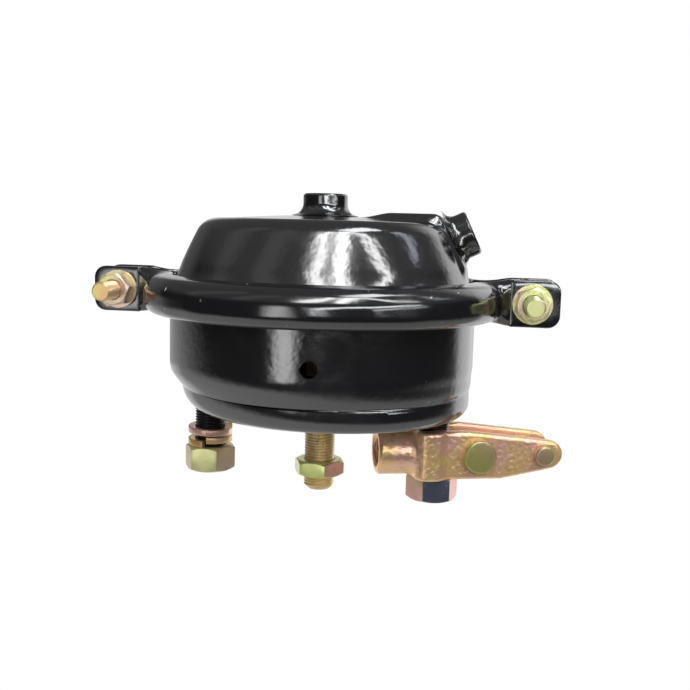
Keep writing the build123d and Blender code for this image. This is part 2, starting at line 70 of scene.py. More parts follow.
def roundedLine(corners, radii, arcPoints, runPoints=1):
    # straight runs joined by arcs: each corner is cut back by radius / tan(half angle) and bridged by an arc
    p = np.array(corners, float)
    parts = [p[:1]]
    for a, b, c, radius in zip(p, p[1:], p[2:], radii):
        u, v = unit(a - b), unit(c - b)
        half = math.acos(float(np.clip(u @ v, -1, 1))) / 2
        centre = b + unit(u + v) * radius / math.sin(half)
        first, last = b + u * radius / math.tan(half) - centre, b + v * radius / math.tan(half) - centre
        start = math.atan2(first[1], first[0])
        sweep = (math.atan2(last[1], last[0]) - start + math.pi) % (2 * math.pi) - math.pi
        t = start + sweep * np.linspace(0, 1, arcPoints)
        parts.append(centre + radius * np.stack([np.cos(t), np.sin(t)], 1))
    parts.append(p[-1:])
    runs = []
    for one, two in zip(parts, parts[1:]):
        share = np.linspace(0, 1, runPoints + 1)[1:-1, None]
        runs += [one, one[-1] * (1 - share) + two[0] * share]
    return np.concatenate(runs + parts[-1:])


def lengthAlong(line):
    return np.concatenate([[0], np.cumsum(np.linalg.norm(np.diff(line, axis=0), axis=1))])


def pointsAt(line, far, keep):
    return np.stack([np.interp(keep, far, part) for part in line.T], 1)


def evenly(line, step):
    # the line with more points on its long runs, none further apart than the step
    far = lengthAlong(line)
    keep = np.unique(np.round(np.concatenate([far, np.linspace(0, far[-1], int(far[-1] / step) + 2)]), 4))
    return pointsAt(line, far, keep[np.concatenate([[True], np.diff(keep) > step * 0.15])])


def sampled(line, count):
    # the given number of points, evenly spaced along the line
    far = lengthAlong(line)
    return pointsAt(line, far, np.linspace(0, far[-1], count))


def held(line, near=0.25):
    # a point close to each end of every long run, so that shading stays flat along it
    parts = [line[:1]]
    for one, two in zip(line, line[1:]):
        far = np.linalg.norm(two - one)
        if far > 4 * near:
            parts += [(one + (two - one) * near / far)[None], (two - (two - one) * near / far)[None]]
        parts.append(two[None])
    return np.concatenate(parts)


def normalsOf(line):
    # unit normals to the left of a flat line
    way = unit(np.gradient(line, axis=0))
    return np.stack([-way[:, 1], way[:, 0]], 1)


def sheetLoop(line, thick, edge=0.8, edgePoints=4):
    # closed outline of bent sheet: the line moved half a thickness to each side, its two ends rounded
    n = normalsOf(line)
    half = thick / 2
    t = np.linspace(0, math.pi / 2, edgePoints)

    def cap(spot, way, side):
        out = np.sin(t)[:, None] * way * edge + (half - edge + edge * np.cos(t))[:, None] * side
        back = out[::-1] - 2 * (out[::-1] @ side)[:, None] * side
        return spot + np.concatenate([out, back])

    startWay, endWay = unit(line[0] - line[1]), unit(line[-1] - line[-2])
    inner = line[1:-1]
    return np.concatenate([
        inner + n[1:-1] * half, cap(line[-1] - endWay * edge, endWay, n[-1]),
        (inner - n[1:-1] * half)[::-1], cap(line[0] - startWay * edge, startWay, -n[0])])


def turned(profile, segments):
    # profile of (radius, height) turned about Z
    return cylindrical(profile[:, :1], roundAngles(segments), profile[:, 1:])


def lumps(p, size, seed, waves=14):
    # smooth unevenness of about unit size: a sum of sine waves in random directions
    rng = np.random.default_rng(seed)
    way = unit(rng.normal(size=(waves, 3))) * rng.uniform(0.6, 1.6, (waves, 1)) * 2 * math.pi / size
    return np.sin(p @ way.T + rng.uniform(0, 7, waves)).sum(-1) / math.sqrt(waves * 1.4)


# meshes
def quads(rows, cols, closedRows, offset, keep):
    # the four corners of every cell of a grid whose points are numbered row by row and whose rows are rings
    r, c = (a.ravel() for a in np.meshgrid(
        np.arange(rows if closedRows else rows - 1), np.arange(cols), indexing="ij"))
    if keep is not None:
        kept = keep[r, c]
        r, c = r[kept], c[kept]
    r2, c2 = (r + 1) % rows, (c + 1) % cols
    return offset + np.stack([r * cols + c, r * cols + c2, r2 * cols + c2, r2 * cols + c], 1)


def grid(points, closedRows=False, keep=None, capped=False):
    # rows of rings; caps close the first and the last ring by rows of points at their middles
    if capped:
        first, last = (ring[None] * 0 + ring.mean(0) for ring in (points[0], points[-1]))
        points = np.concatenate([first, points, last])
    return points, closedRows, keep


def gridMesh(name, grids):
    verts, faces, offset = [], [], 0
    for points, closedRows, keep in grids:
        rows, cols = points.shape[:2]
        verts.append(points.reshape(-1, 3) * mm)
        faces.append(quads(rows, cols, closedRows, offset, keep))
        offset += rows * cols
    mesh = bpy.data.meshes.new(name)
    mesh.from_pydata(np.concatenate(verts), [], np.concatenate(faces).tolist())
    bm = bmesh.new()
    bm.from_mesh(mesh)
    bmesh.ops.remove_doubles(bm, verts=bm.verts, dist=2e-6)
    bmesh.ops.delete(bm, geom=[v for v in bm.verts if not v.link_faces], context="VERTS")
    bmesh.ops.recalc_face_normals(bm, faces=bm.faces)
    bm.to_mesh(mesh)
    bm.free()
    return mesh


def addMesh(name, mesh, nodes, material, body, crease):
    mesh.polygons.foreach_set("use_smooth", np.ones(len(mesh.polygons), bool))
    mesh.set_sharp_from_angle(angle=math.radians(crease))
    mesh.materials.append(material)
    piece = bpy.data.objects.new(name, mesh)
    scene.collection.objects.link(piece)
    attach(piece, body)
    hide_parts(*nodes)
    return piece


def addPiece(name, grids, nodes, material, body="chamber", crease=38):
    return addMesh(name, gridMesh(name, grids), nodes, material, body, crease)


def placed(points, turn, at):
    return points @ np.array(turn).T + np.array(at, float)


# finishes
class Wire:
    # a node's output: sums and products with outputs, numbers and vectors add the nodes for them
    def __init__(self, tree, socket):
        self.tree, self.socket = tree, socket

    def node(self, kind, settings, sockets, output=0):
        made = self.tree.nodes.new(kind)
        for key, value in settings.items():
            setattr(made, key, value)
        for key, value in sockets.items():
            if isinstance(value, Wire):
                self.tree.links.new(value.socket, made.inputs[key])
            else:
                made.inputs[key].default_value = value
        return Wire(self.tree, made.outputs[output])

    def join(self, operation, first, second):
        if any(isinstance(v, tuple) or isinstance(v, Wire) and v.socket.type == "VECTOR" for v in (first, second)):
            first, second = (v if isinstance(v, (tuple, Wire)) else (v, v, v) for v in (first, second))
            return self.node("ShaderNodeVectorMath", {"operation": operation}, {0: first, 1: second})
        return self.node("ShaderNodeMath", {"operation": operation}, {0: first, 1: second})

    def __add__(self, other):
        return self.join("ADD", self, other)

    def __radd__(self, other):
        return self.join("ADD", other, self)

    def __sub__(self, other):
        return self.join("SUBTRACT", self, other)

    def __rsub__(self, other):
        return self.join("SUBTRACT", other, self)

    def __mul__(self, other):
        return self.join("MULTIPLY", self, other)

    def __rmul__(self, other):
        return self.join("MULTIPLY", other, self)

    def __truediv__(self, other):
        return self.join("DIVIDE", self, other)

    def __rtruediv__(self, other):
        return self.join("DIVIDE", other, self)

    def larger(self, other):
        return self.join("MAXIMUM", self, other)

    def step(self, low, high):
        # 0 below the low value, 1 above the high one, smooth between; the other way round where low > high
        return self.node("ShaderNodeMapRange", {"interpolation_type": "SMOOTHSTEP"}, {
            0: self, 1: min(low, high), 2: max(low, high), 3: float(low > high), 4: float(low < high)})

    def blend(self, first, second):
        # colour from the first to the second as this goes from 0 to 1
        first, second = (v if isinstance(v, Wire) else (*v, 1.0) for v in (first, second))
        return self.node("ShaderNodeMix", {"data_type": "RGBA"}, {0: self, 6: first, 7: second}, 2)

    def noise(self, scale, detail=2.0, rough=0.5, output=0):
        return self.node("ShaderNodeTexNoise", {}, {
            "Vector": self, "Scale": scale, "Detail": detail, "Roughness": rough}, output)

    def specks(self, scale, size):
        # 1 inside small dots, one in each cell of the given scale
        return self.node("ShaderNodeTexVoronoi", {}, {"Vector": self, "Scale": scale}).step(size, size * 0.6)

    def reach(self, way):
        # how far this vector goes in a direction
        return self.node("ShaderNodeVectorMath", {"operation": "DOT_PRODUCT"}, {0: self, 1: way}, "Value")


def newFinish(name, **constants):
    # a material, its shader and a wire with the object's own coordinates in metres
    material = bpy.data.materials.new(name)
    material.use_nodes = True
    tree = material.node_tree
    shader = tree.nodes["Principled BSDF"]
    for key, value in constants.items():
        shader.inputs[key.replace("_", " ")].default_value = value
    return material, shader, Wire(tree, None).node("ShaderNodeTexCoord", {}, {}, "Object")


def feed(shader, **wires):
    for key, wire in wires.items():
        wire.tree.links.new(wire.socket, shader.inputs[key.replace("_", " ")])


def bump(height, distance):
    return height.node("ShaderNodeBump", {}, {"Height": height, "Distance": distance})


def lacquer(name, d):
    # black gloss paint: orange peel, dull haze in patches, dust and small chips
    material, shader, place = newFinish(name, IOR=d["ior"], Metallic=0.0)
    haze = place.noise(38.0, 3.0, 0.6)
    peel = place.noise(d["peelScale"], 1.0, 0.4)
    wave = place.noise(55.0, 1.0, 0.5)
    grit = place.noise(60.0, 2.0).step(0.55, 0.7)
    dust = place.specks(330.0, 0.09) * grit * d["dust"]
    ragged = place + place.noise(400.0, 2.0, 0.6, 1) * 0.005
    chips = ragged.specks(110.0, 0.075) * place.noise(25.0).step(0.43, 0.53) * d["chips"]
    colour = dust.blend(d["colour"], (0.30, 0.29, 0.26))
    colour = chips.blend(colour, (0.55, 0.52, 0.44))
    rough = d["rough"] + haze.step(0.45, 0.75) * d["haze"] + (dust + chips) * 0.4
    feed(shader, Base_Color=colour, Roughness=rough,
         Normal=bump(peel + wave * d["wave"] + chips * 0.5, d["peel"]))
    return material


def platedSteel(name, d):
    # zinc passivate: three tints that drift over the surface, darker rubs and a fine grain, and painted light and
    # shade on the flat faces that are listed
    material, shader, place = newFinish(name, Metallic=d["metal"])
    moved = place + (0.013 * d["seed"], 0.031 * d["seed"], 0.007 * d["seed"])
    drift = moved.noise(d["drift"], 2.0, 0.5)
    first, second, third = d["tints"]
    colour = drift.step(0.38, 0.62).blend(first, second)
    colour = (moved + (0.1, 0.0, 0.2)).noise(d["drift"] * 1.3, 2.0).step(0.55, 0.72).blend(colour, third)
    for azimuth, beyond, paintedLight in d["faces"]:
        # painted light and shade: a flat face given the colour of the light it catches, broken by small flecks,
        # found by how far out it lies in its direction
        out = place.reach((math.cos(math.radians(azimuth)), math.sin(math.radians(azimuth)), 0.0))
        fleck = moved.noise(700.0, 3.0, 0.7).step(0.62, 0.7) * 0.5
        colour = (out.step(beyond - 0.0002, beyond) * (1 - fleck)).blend(colour, paintedLight)
    stain = moved.noise(d["stainScale"], 4.0, 0.65).step(0.56, 0.74) * d["stain"]
    colour = stain.blend(colour, d["dark"])
    grain = moved.noise(d["grain"], 3.0, 0.6)
    rough = d["rough"] + grain * d["roughDrift"] + stain * 0.15
    feed(shader, Base_Color=colour, Roughness=rough, Normal=bump(grain, d["bump"]))
    return material


housingPaint = {
    "colour": (0.0055, 0.0056, 0.0066), "ior": 2.3, "rough": 0.13, "haze": 0.10,
    "peelScale": 330.0, "peel": 0.00007, "wave": 0.6, "dust": 0.35, "chips": 0.15,
}
bandPaint = {
    **housingPaint, "ior": 2.1, "rough": 0.12, "haze": 0.12,
    "peelScale": 300.0, "peel": 0.00003, "wave": 0.8, "dust": 0.9, "chips": 0.8,
}
glossBlack = lacquer("housingPaint", housingPaint)
bandBlack = lacquer("bandPaint", bandPaint)
plating = {
    "drift": 45.0, "stainScale": 160.0, "stain": 0.5, "grain": 900.0, "bump": 0.00002, "rough": 0.26,
    "roughDrift": 0.12, "seed": 1, "metal": 0.72, "tints": ((0.68, 0.72, 0.32), (0.78, 0.60, 0.46),
    (0.80, 0.84, 0.50)), "dark": (0.18, 0.16, 0.08), "faces": [],
}
# how far out the flats of the nuts lie, in metres, from a stud's axis at the given side of the middle
nutFlat = 0.0118
studOut = 0.060325


def paintedStudFace(azimuth, side, paintedLight):
    # face of a stud's nut: its direction, how far out it starts, and the painted light and shade on it
    return azimuth, side * studOut * math.cos(math.radians(azimuth)) + nutFlat, paintedLight


platings = {
    "zincYellow": {},
    "zincGold": {"seed": 2, "tints": ((0.72, 0.46, 0.20), (0.80, 0.54, 0.34), (0.74, 0.62, 0.26))},
    "rodGold": {"seed": 3, "tints": ((0.72, 0.54, 0.24), (0.80, 0.62, 0.34), (0.60, 0.52, 0.22))},
    "leftNut": {
        "seed": 10, "tints": ((0.72, 0.66, 0.36), (0.78, 0.62, 0.44), (0.74, 0.76, 0.40)),
        # painted light and shade: each of these flats gets the colour of the light it catches
        "faces": [paintedStudFace(-89.5, -1, (0.72, 0.70, 0.34)), paintedStudFace(-29.5, -1, (0.62, 0.48, 0.34)),
                  paintedStudFace(-149.5, -1, (0.58, 0.50, 0.30))]},
    "rightNut": {
        "seed": 8, "tints": ((0.74, 0.40, 0.37), (0.76, 0.54, 0.38), (0.70, 0.40, 0.38)),
        # painted shade: this flat is coloured near black for the dark it mirrors
        "faces": [paintedStudFace(-75.5, 1, (0.10, 0.12, 0.16))]},
    "jamYellow": {
        "seed": 9, "tints": ((0.74, 0.78, 0.34), (0.84, 0.86, 0.46), (0.78, 0.62, 0.36)),
        # painted light and shade: the two flats facing the camera get the colours of the light they catch
        "faces": [(-39.2, nutFlat, (0.84, 0.52, 0.40)), (-99.2, nutFlat, (0.88, 0.96, 0.36))]},
    "copperPink": {"seed": 4, "tints": ((0.84, 0.54, 0.46), (0.74, 0.44, 0.36), (0.80, 0.64, 0.40))},
    "yokeGold": {
        "seed": 5, "drift": 60.0, "grain": 620.0, "bump": 0.00024, "rough": 0.24, "stain": 0.75, "metal": 0.8,
        "tints": ((1.0, 0.66, 0.32), (1.0, 0.60, 0.46), (1.0, 0.80, 0.26)),
        "dark": (0.50, 0.30, 0.12)},
    "pinGreen": {"seed": 6, "tints": ((0.44, 0.42, 0.14), (0.46, 0.32, 0.22), (0.52, 0.50, 0.20))},
    # painted shade: near black tints for the dark inside of the yoke's threaded bore
    "paintedBoreShade": {"seed": 11, "tints": ((0.05, 0.04, 0.02), (0.07, 0.04, 0.03), (0.04, 0.04, 0.02))},
    "innerSteel": {"seed": 7, "tints": ((0.45, 0.44, 0.42), (0.40, 0.40, 0.40), (0.5, 0.49, 0.46))},
}
plated = {name: platedSteel(name, {**plating, **changes}) for name, changes in platings.items()}
threadBlack = lacquer("threadBlack", {**housingPaint, "rough": 0.3, "ior": 1.6})
rubberBlack = lacquer("rubberBlack", {**housingPaint, "rough": 0.6, "ior": 1.5, "dust": 0.2, "chips": 0.0})
springBlack = lacquer("springBlack", {**housingPaint, "rough": 0.3, "ior": 1.6})

# lower housing
drum = {
    "sheet": 3.0, "wall": 79.0, "shoulderZ": 27.0, "shoulderLow": 15.7, "shoulderPower": 2.3, "creaseZ": 13.5,
    "creaseBend": 2.0, "skirt": 75.3, "foot": 75.6, "footBends": (6.5, 14.0), "rodHole": 17.0, "lowPoints": 78,
    "lean": 2.3, "leanFrom": 22, "leanOver": 10, "slim": 0.008, "slimFrom": 24, "slimOver": 12,
    "jointZ": 59.5, "flange": 85.4, "flangeAngle": math.radians(8), "rimHalf": 2.0, "flangeBend": 2.5,
    "ventZ": 31.5, "ventRadius": 4.0, "ventEdge": 0.35, "firstVent": -85.0, "vents": 4, "segments": 384,
}
drum["slope"] = math.tan(drum["flangeAngle"])
drum["flangeMid"] = drum["rimHalf"] + drum["sheet"] / 2 / math.cos(drum["flangeAngle"])


def ringPatch(outer, inner, rows):
    # rows of points that lead from one closed loop to another
    share = np.linspace(0, 1, rows)[:, None, None]
    return outer * (1 - share) + inner * share


def gridLoop(points, r0, r1, c0, c1):
    # the border of a block of grid cells, as one closed loop
    return np.concatenate([
        points[r0, c0:c1], points[r0:r1, c1], points[r1, c0 + 1:c1 + 1][::-1], points[r0 + 1:r1 + 1, c0][::-1]])


def lowerHousing(d):
    # section of foot, shoulder, wall and flange turned about Z: p = tight * share + wide * (1 - share)
    half = d["sheet"] / 2
    wall = d["wall"] - half
    rimZ = d["jointZ"] - d["flangeMid"]
    # the shoulder runs out from the crease ever steeper: r = wall - inset * (depth below its top) ^ power
    z = np.linspace(d["shoulderLow"], d["shoulderZ"], 16)
    depth = (d["shoulderZ"] - z) / (d["shoulderZ"] - d["creaseZ"])
    shoulder = np.stack([wall - (d["wall"] - d["skirt"]) * depth ** d["shoulderPower"], z], 1)
    footCorners = [(d["rodHole"], half), (d["foot"] - half, half), (d["skirt"] - half, d["creaseZ"]), shoulder[0]]
    rimCorners = [shoulder[-1], (wall, rimZ - d["slope"] * (d["flange"] - wall)), (d["flange"], rimZ)]
    # the wall's rows around the vents are laid out so that both skins match
    block = 1.6 * d["ventRadius"]
    wallRows = d["ventZ"] + np.linspace(-block, block, 9)
    loops = []
    for footBend in d["footBends"]:
        line = np.concatenate([
            roundedLine(footCorners, [footBend - half, d["creaseBend"]], arcPoints=13), shoulder[1:-1],
            roundedLine(rimCorners, [d["flangeBend"]], arcPoints=13)])
        low, high = line[line[:, 1] < wallRows[0] - 0.5], line[line[:, 1] > wallRows[-1] + 0.5]
        line = [sampled(low, d["lowPoints"]), np.stack([wallRows * 0 + wall, wallRows], 1), evenly(high, 2.0)]
        loops.append(sheetLoop(np.concatenate(line), d["sheet"]))
    # the foot's bend is tight on the side of +X and wide opposite; the foot sits off the wall's centre
    share = 0.5 + 0.5 * np.cos(2 * math.pi * np.arange(d["segments"]) / d["segments"])[None, :, None]
    points = turned(loops[0], d["segments"]) * share + turned(loops[1], d["segments"]) * (1 - share)
    points[..., 0] += d["lean"] * eased(np.clip((d["leanFrom"] - points[..., 2]) / d["leanOver"], 0, 1))
    slim = eased(np.clip((d["slimFrom"] - points[..., 2:]) / d["slimOver"], 0, 1))
    points[..., :2] *= 1 - d["slim"] * (1 - share) * slim
    keep = np.ones(points.shape[:2], bool)
    rs, zs = loops[0].T
    onWall = (np.abs(zs - d["ventZ"]) < block + 0.01)
    skins = [np.where(onWall & (rs > wall))[0], np.where(onWall & (rs < wall) & (rs > wall - d["sheet"]))[0]]
    pieces = []
    step, halfTurn = 360 / d["segments"], d["segments"] // 2
    for k in range(d["vents"]):
        azimuth = d["firstVent"] + k * 360 / d["vents"]
        middle = int(round(azimuth / step)) % d["segments"]
        wide = int(round(math.degrees(block / d["wall"]) / step))
        rolled = np.roll(points, halfTurn - middle, axis=1)
        columns = (np.arange(-wide, wide) + middle) % d["segments"]
        rings = []
        for rows, radius in zip(skins, (d["wall"], d["wall"] - d["sheet"])):
            r0, r1 = rows.min(), rows.max()
            keep[np.ix_(np.arange(r0, r1), columns)] = False
            border = gridLoop(rolled, r0, r1, halfTurn - wide, halfTurn + wide)
            across = (np.degrees(np.arctan2(border[:, 1], border[:, 0])) - azimuth + 180) % 360 - 180
            u, v = np.radians(across) * radius, border[:, 2] - d["ventZ"]
            rings.append((border, np.arctan2(v, u)))

        (outer, aim), (inner, aimInner) = rings

        def ventCircle(wider, deeper):
            # circle round the vent on a cylinder this much inside the wall
            radius, hole = d["wall"] - deeper, d["ventRadius"] + wider
            t = np.radians(azimuth) + np.arcsin(hole * np.cos(aim) / radius)
            return cylindrical(radius, t, d["ventZ"] + hole * np.sin(aim))

        e, sheet = d["ventEdge"], d["sheet"]
        circles = [ventCircle(*spot) for spot in ((1.2, 0), (e, 0.02), (0, e), (0, sheet - e), (e, sheet))]
        lead = ringPatch(outer, circles[0], 4)
        order = np.argmin(np.abs(np.angle(np.exp(1j * (aimInner[None] - aim[:, None])))), axis=1)
        sheetRows = ringPatch(circles[-1], inner[order], 4)
        pieces.append(grid(np.concatenate([lead, np.stack(circles[1:-1]), sheetRows])))
    return [grid(points, closedRows=True, keep=keep)] + pieces


addPiece("lowerHousing", lowerHousing(drum), ["non_pressure_housing"], glossBlack)
print("stage: lower housing")

# upper housing
dome = {
    "height": 98.0, "base": 75.5, "baseZ": 69.0, "cone": math.tan(math.radians(25)), "bend": 11.0, "sheet": 3.0,
    "crown": 2.5, "crownRadius": 54.0, "bulge": 0.55, "padRise": 4.6, "padLength": 56.4, "padRamp": 25.5,
    "padSunk": 2.0, "padHalf": 17.0, "padEdge": 4.0, "padProud": 1.06, "portDrop": 8.36,
    "portAngle": math.radians(25.5), "holeRadius": 8.6, "blend": 3.5, "segments": 480,
    "rayCentre": (12.0, 0, 40.0), "raySteps": 26,
}
portAxis = np.array([math.cos(dome["portAngle"]), 0, math.sin(dome["portAngle"])])
padFace = np.array([
    dome["base"] - dome["cone"] * (dome["height"] - dome["portDrop"] - dome["baseZ"]) + dome["padProud"], 0,
    dome["height"] - dome["portDrop"]])


def softMin(a, b, k):
    # union with a hollow of about the given size between the shapes
    h = np.clip(0.5 + 0.5 * (b - a) / k, 0, 1)
    return b * (1 - h) + a * h - k * h * (1 - h)


def padDistance(p, d):
    # distance to the raised pad: a round-ended bar along X under a roof that ramps up, cut off by the port's face
    half, edge = d["padHalf"], d["padEdge"]
    back = padFace[0] - d["padLength"] + half
    away = np.stack([np.minimum(p[..., 0] - back, 0), p[..., 1]], -1)
    side = np.linalg.norm(away, axis=-1) - half
    climb = np.clip((p[..., 0] - padFace[0] + d["padLength"]) / d["padRamp"], 0, 1)
    rise = (d["padRise"] + d["padSunk"]) * eased(climb) - d["padSunk"]
    roof = p[..., 2] - (d["height"] + rise)
    face = (p - padFace) @ portAxis
    q = np.stack([side, roof, face], -1) + edge
    return np.linalg.norm(np.maximum(q, 0), axis=-1) + np.minimum(q.max(-1), 0) - edge


def domeDistance(p, d):
    # distance to the cone with its slightly crowned top, the bend between them rounded
    r = np.hypot(p[..., 0], p[..., 1])
    cosine = 1 / math.hypot(1, d["cone"])
    sine = d["cone"] * cosine
    climb = np.clip((p[..., 2] - d["baseZ"]) / (d["height"] - d["baseZ"]), 0, 1)
    wall = (r - d["base"] + d["cone"] * (p[..., 2] - d["baseZ"])) * cosine - d["bulge"] * 4 * climb * (1 - climb)
    top = p[..., 2] - d["height"] - d["crown"] * np.clip(1 - (r / d["crownRadius"]) ** 2, 0, 1) ** 1.5
    a, b = wall + d["bend"], top + d["bend"]
    bent = np.sqrt(np.maximum(a * a + b * b - 2 * a * b * sine, 0) / (1 - sine * sine)) - d["bend"]
    return np.where((a > b * sine) & (b > a * sine), bent, np.maximum(wall, top))


def skinDistance(p, d):
    # both shapes joined with a soft hollow between them
    return softMin(domeDistance(p, d), padDistance(p, d), d["blend"])


def onSkin(p, d):
    # each point slides along its ray from a centre inside until the distance is nothing
    centre = np.array(d["rayCentre"])
    way = unit(p - centre)
    far = np.linalg.norm(p - centre, axis=-1) + 9
    for _ in range(d["raySteps"]):
        far = far - skinDistance(centre + way * far[..., None], d) * 0.9
    return centre + way * far[..., None]


def upperHousing(d):
    # section of top, cone and flange turned about Z, its outer skin then moved onto the shape with the pad
    half = d["sheet"] / 2
    shift = half / math.cos(math.atan(d["cone"]))
    rimZ = drum["jointZ"] + drum["flangeMid"]
    slope, cone, flange = drum["slope"], d["cone"], drum["flange"]
    meet = (d["base"] - shift + cone * (d["baseZ"] - rimZ - slope * flange)) / (1 - cone * slope)
    topZ = d["height"] - half
    corners = [
        (d["holeRadius"], topZ), (d["base"] - shift - cone * (topZ - d["baseZ"]), topZ),
        (meet, rimZ + slope * (flange - meet)), (flange, rimZ)]
    line = evenly(roundedLine(corners, [d["bend"] - half, drum["flangeBend"]], arcPoints=12), 1.3)
    loop = sheetLoop(line, d["sheet"])
    points = turned(loop, d["segments"])
    n = len(line) - 2
    lifted = onSkin(points, d)
    # only the outer skin is lifted, and neither at the cone's base nor round the hole
    fade = np.clip((loop[:, 1] - (d["baseZ"] + 1)) / 5, 0, 1) * (np.arange(len(loop)) < n)
    fade = fade * np.clip((loop[:, 0] - d["holeRadius"] - 1) / 3, 0, 1)
    points = points + (lifted - points) * fade[:, None, None]
    return [grid(points, closedRows=True)]


addPiece("upperHousing", upperHousing(dome), ["pressure_housing"], glossBlack, crease=50)
print("stage: upper housing")

# threads, nuts and rods
upright = Matrix.Identity(3)
toRear = Matrix.Rotation(math.radians(-90), 3, "X")
toFront = Matrix.Rotation(math.radians(90), 3, "X")


def about(axis, degrees):
    return Matrix.Rotation(math.radians(degrees), 3, axis)


def threadWave(turns):
    # 0 on a thread's crest, 1 at its root: a trapezoid wave whose crest takes 14 % of the pitch, its root 20 %
    return np.clip((np.abs(2 * (turns % 1) - 1) - 0.14) / 0.66, 0, 1)


def barrel(radii, heights, segments=72):
    # rows of circles, with their radii and heights given per row or per point
    r, z = (np.asarray(part, float).reshape(len(heights), -1) for part in (radii, heights))
    return cylindrical(r, roundAngles(segments), z)


def threadRows(radius, low, high, depth, perPitch=8, segments=72, fadeHigh=0.0):
    # r = radius - depth * wave(z / pitch - t / 2 pi), the depth fading out towards the upper end where asked
    z = np.linspace(low, high, max(int((high - low) / pitch * perPitch), 2) + 1)[:, None]
    t = np.arange(segments)[None] / segments
    fade = np.clip((z - low) / 1e-6, 0, 1) * np.clip((high - z) / (fadeHigh + 1e-6), 0, 1)
    return radius - depth * fade * threadWave(z / pitch - t), z + 0 * t


def threadedBar(d):
    # thread from its low end up, chamfered there, then a plain bar and what stands on it
    r, z = threadRows(d["radius"], d["low"], d["threadTop"], d["depth"], fadeHigh=pitch)
    r = np.minimum(r, d["radius"] - d["chamfer"] + z - d["low"])
    rows = [barrel(r[:1] * 0.93, z[:1]), barrel(r, z), barrel(*zip(*d["above"]))]
    return [grid(np.concatenate(rows), capped=True)]


def hexNut(d, segments=96):
    # radius of the six flats, corners slightly worn: r = half / (sum cos^p) ^ (1 / p)
    t = roundAngles(segments)
    flats = t[:, None] - np.radians(60 * np.arange(6) + 30)[None]
    half, p, h, softly = d["flats"] / 2, d["power"], d["height"], d["softly"]
    side = half / (np.maximum(np.cos(flats), 0) ** p).sum(1) ** (1 / p)
    face = half * d["faceShare"]
    meet = (side - face) * math.tan(math.radians(30))
    conic = [(face + (side - face) * part, meet * part) for part in (0.03, 0.25, 0.5, 0.75, 0.96)]
    rows = [(t * 0 + d["inner"] + d["mouth"], t * 0), (t * 0 + face - softly, t * 0)]
    if d["chamferLow"]:
        rows += conic + [(side, meet + softly)]
    else:
        rows += [(side - softly, t * 0), (side, t * 0 + softly)]
    rows += [(side, t * 0 + h / 2), (side, h - meet - softly)]
    rows += [(r, h - z) for r, z in reversed(conic)] + [(t * 0 + face - softly, t * 0 + h)]
    r, z = (np.stack(part) for part in zip(*rows))
    if not d["bore"]:
        return grid(barrel(r[1:], z[1:], segments), capped=True)
    rt, zt = threadRows(d["inner"] + d["depth"], d["mouth"], h - d["mouth"], d["depth"], 6, segments)
    return grid(np.concatenate([
        barrel(r, z, segments), barrel([d["inner"] + d["mouth"]], [h], segments),
        barrel(rt[::-1], zt[::-1], segments)]), closedRows=True)


def nutSizes(flats, height, inner, **more):
    return {"flats": flats, "height": height, "inner": inner, "mouth": 0.8, "depth": 0.5, "bore": True,
            "chamferLow": True, "power": 120, "faceShare": 0.96, "softly": 0.25, **more}


def shifted(g, turn, at):
    return (placed(g[0], turn, at),) + g[1:]


stud = {"x": 60.325, "radius": 8.0, "threadTop": -0.6, "depth": 0.85, "chamfer": 1.2,
        "above": [(8.0, -0.3), (8.0, 3.0), (8.0, 6.4), (10.0, 6.5), (10.475, 7.0), (10.475, 11.0), (9.9, 11.5)]}
studSides = {
    "Left": {"x": -stud["x"], "low": -36.9, "nutTop": -24.0, "nutTurn": 0.5, "metal": "leftNut"},
    "Right": {"x": stud["x"], "low": -39.6, "nutTop": -32.45, "nutTurn": 14.5, "metal": "rightNut"},
}
for place, d in studSides.items():
    bar = [shifted(g, upright, (d["x"], 0, 0)) for g in threadedBar({**stud, "low": d["low"]})]
    addPiece("stud" + place, bar, ["stud_" + place.lower()], threadBlack)

rod = {"radius": 8.0, "low": -44.1, "threadTop": 3.0, "depth": 0.6, "chamfer": 2.2,
       "above": [(8.0, 4.0), (8.0, 40.0), (8.0, 82.8), (14.3, 82.9), (14.5, 83.0), (17.0, 85.4), (17.0, 87.4),
                 (16.8, 87.85), (8.0, 87.88), (8.0, 91.2), (7.8, 91.4)]}
addPiece("pushRod", threadedBar(rod), ["push_rod"], plated["rodGold"], "push_rod")

jamNut = nutSizes(24.0, 8.0, 7.6, turn=50.8, bottom=-36.3)
addPiece("jamNut", [shifted(hexNut(jamNut), about("Z", jamNut["turn"]), (0, 0, jamNut["bottom"]))],
         ["jam_nut"], plated["jamYellow"], "push_rod")

studNut = nutSizes(24.0, 13.1, 7.6)
for place, d in studSides.items():
    nut = shifted(hexNut(studNut), about("Z", d["nutTurn"]), (d["x"], 0, d["nutTop"] - studNut["height"]))
    addPiece("studNut" + place, [nut], ["stud_nut_" + place.lower()], plated[d["metal"]])
print("stage: studs, rod and nuts")


# lock washers
def roundedBox(wide, high, radius, arcPoints=4):
    # closed section with rounded corners, as (across, up)
    a, b = wide / 2 - radius, high / 2 - radius
    t = np.linspace(0, math.pi / 2, arcPoints)
    quarter = [(1, 1), (-1, 1), (-1, -1), (1, -1)]
    spots = []
    for k, (x, y) in enumerate(quarter):
        aim = t + k * math.pi / 2
        spots.append(np.array([x * a, y * b]) + radius * np.stack([np.cos(aim), np.sin(aim)], 1))
    return np.concatenate(spots)


def lockWasher(d):
    # a flat bar bent round a helix: z = bottom + rise * (1 - s), t = start + 350 degrees * s
    s = np.linspace(0, 1, 97)[:, None]
    section = roundedBox(d["outer"] - d["inner"], d["thick"], 0.5)
    t = np.radians(d["start"] + 350 * s)
    r = (d["outer"] + d["inner"]) / 2 + section[:, 0]
    z = d["bottom"] + d["thick"] / 2 + d["rise"] * (1 - s) + section[:, 1]
    return grid(cylindrical(r, t, z), capped=True)


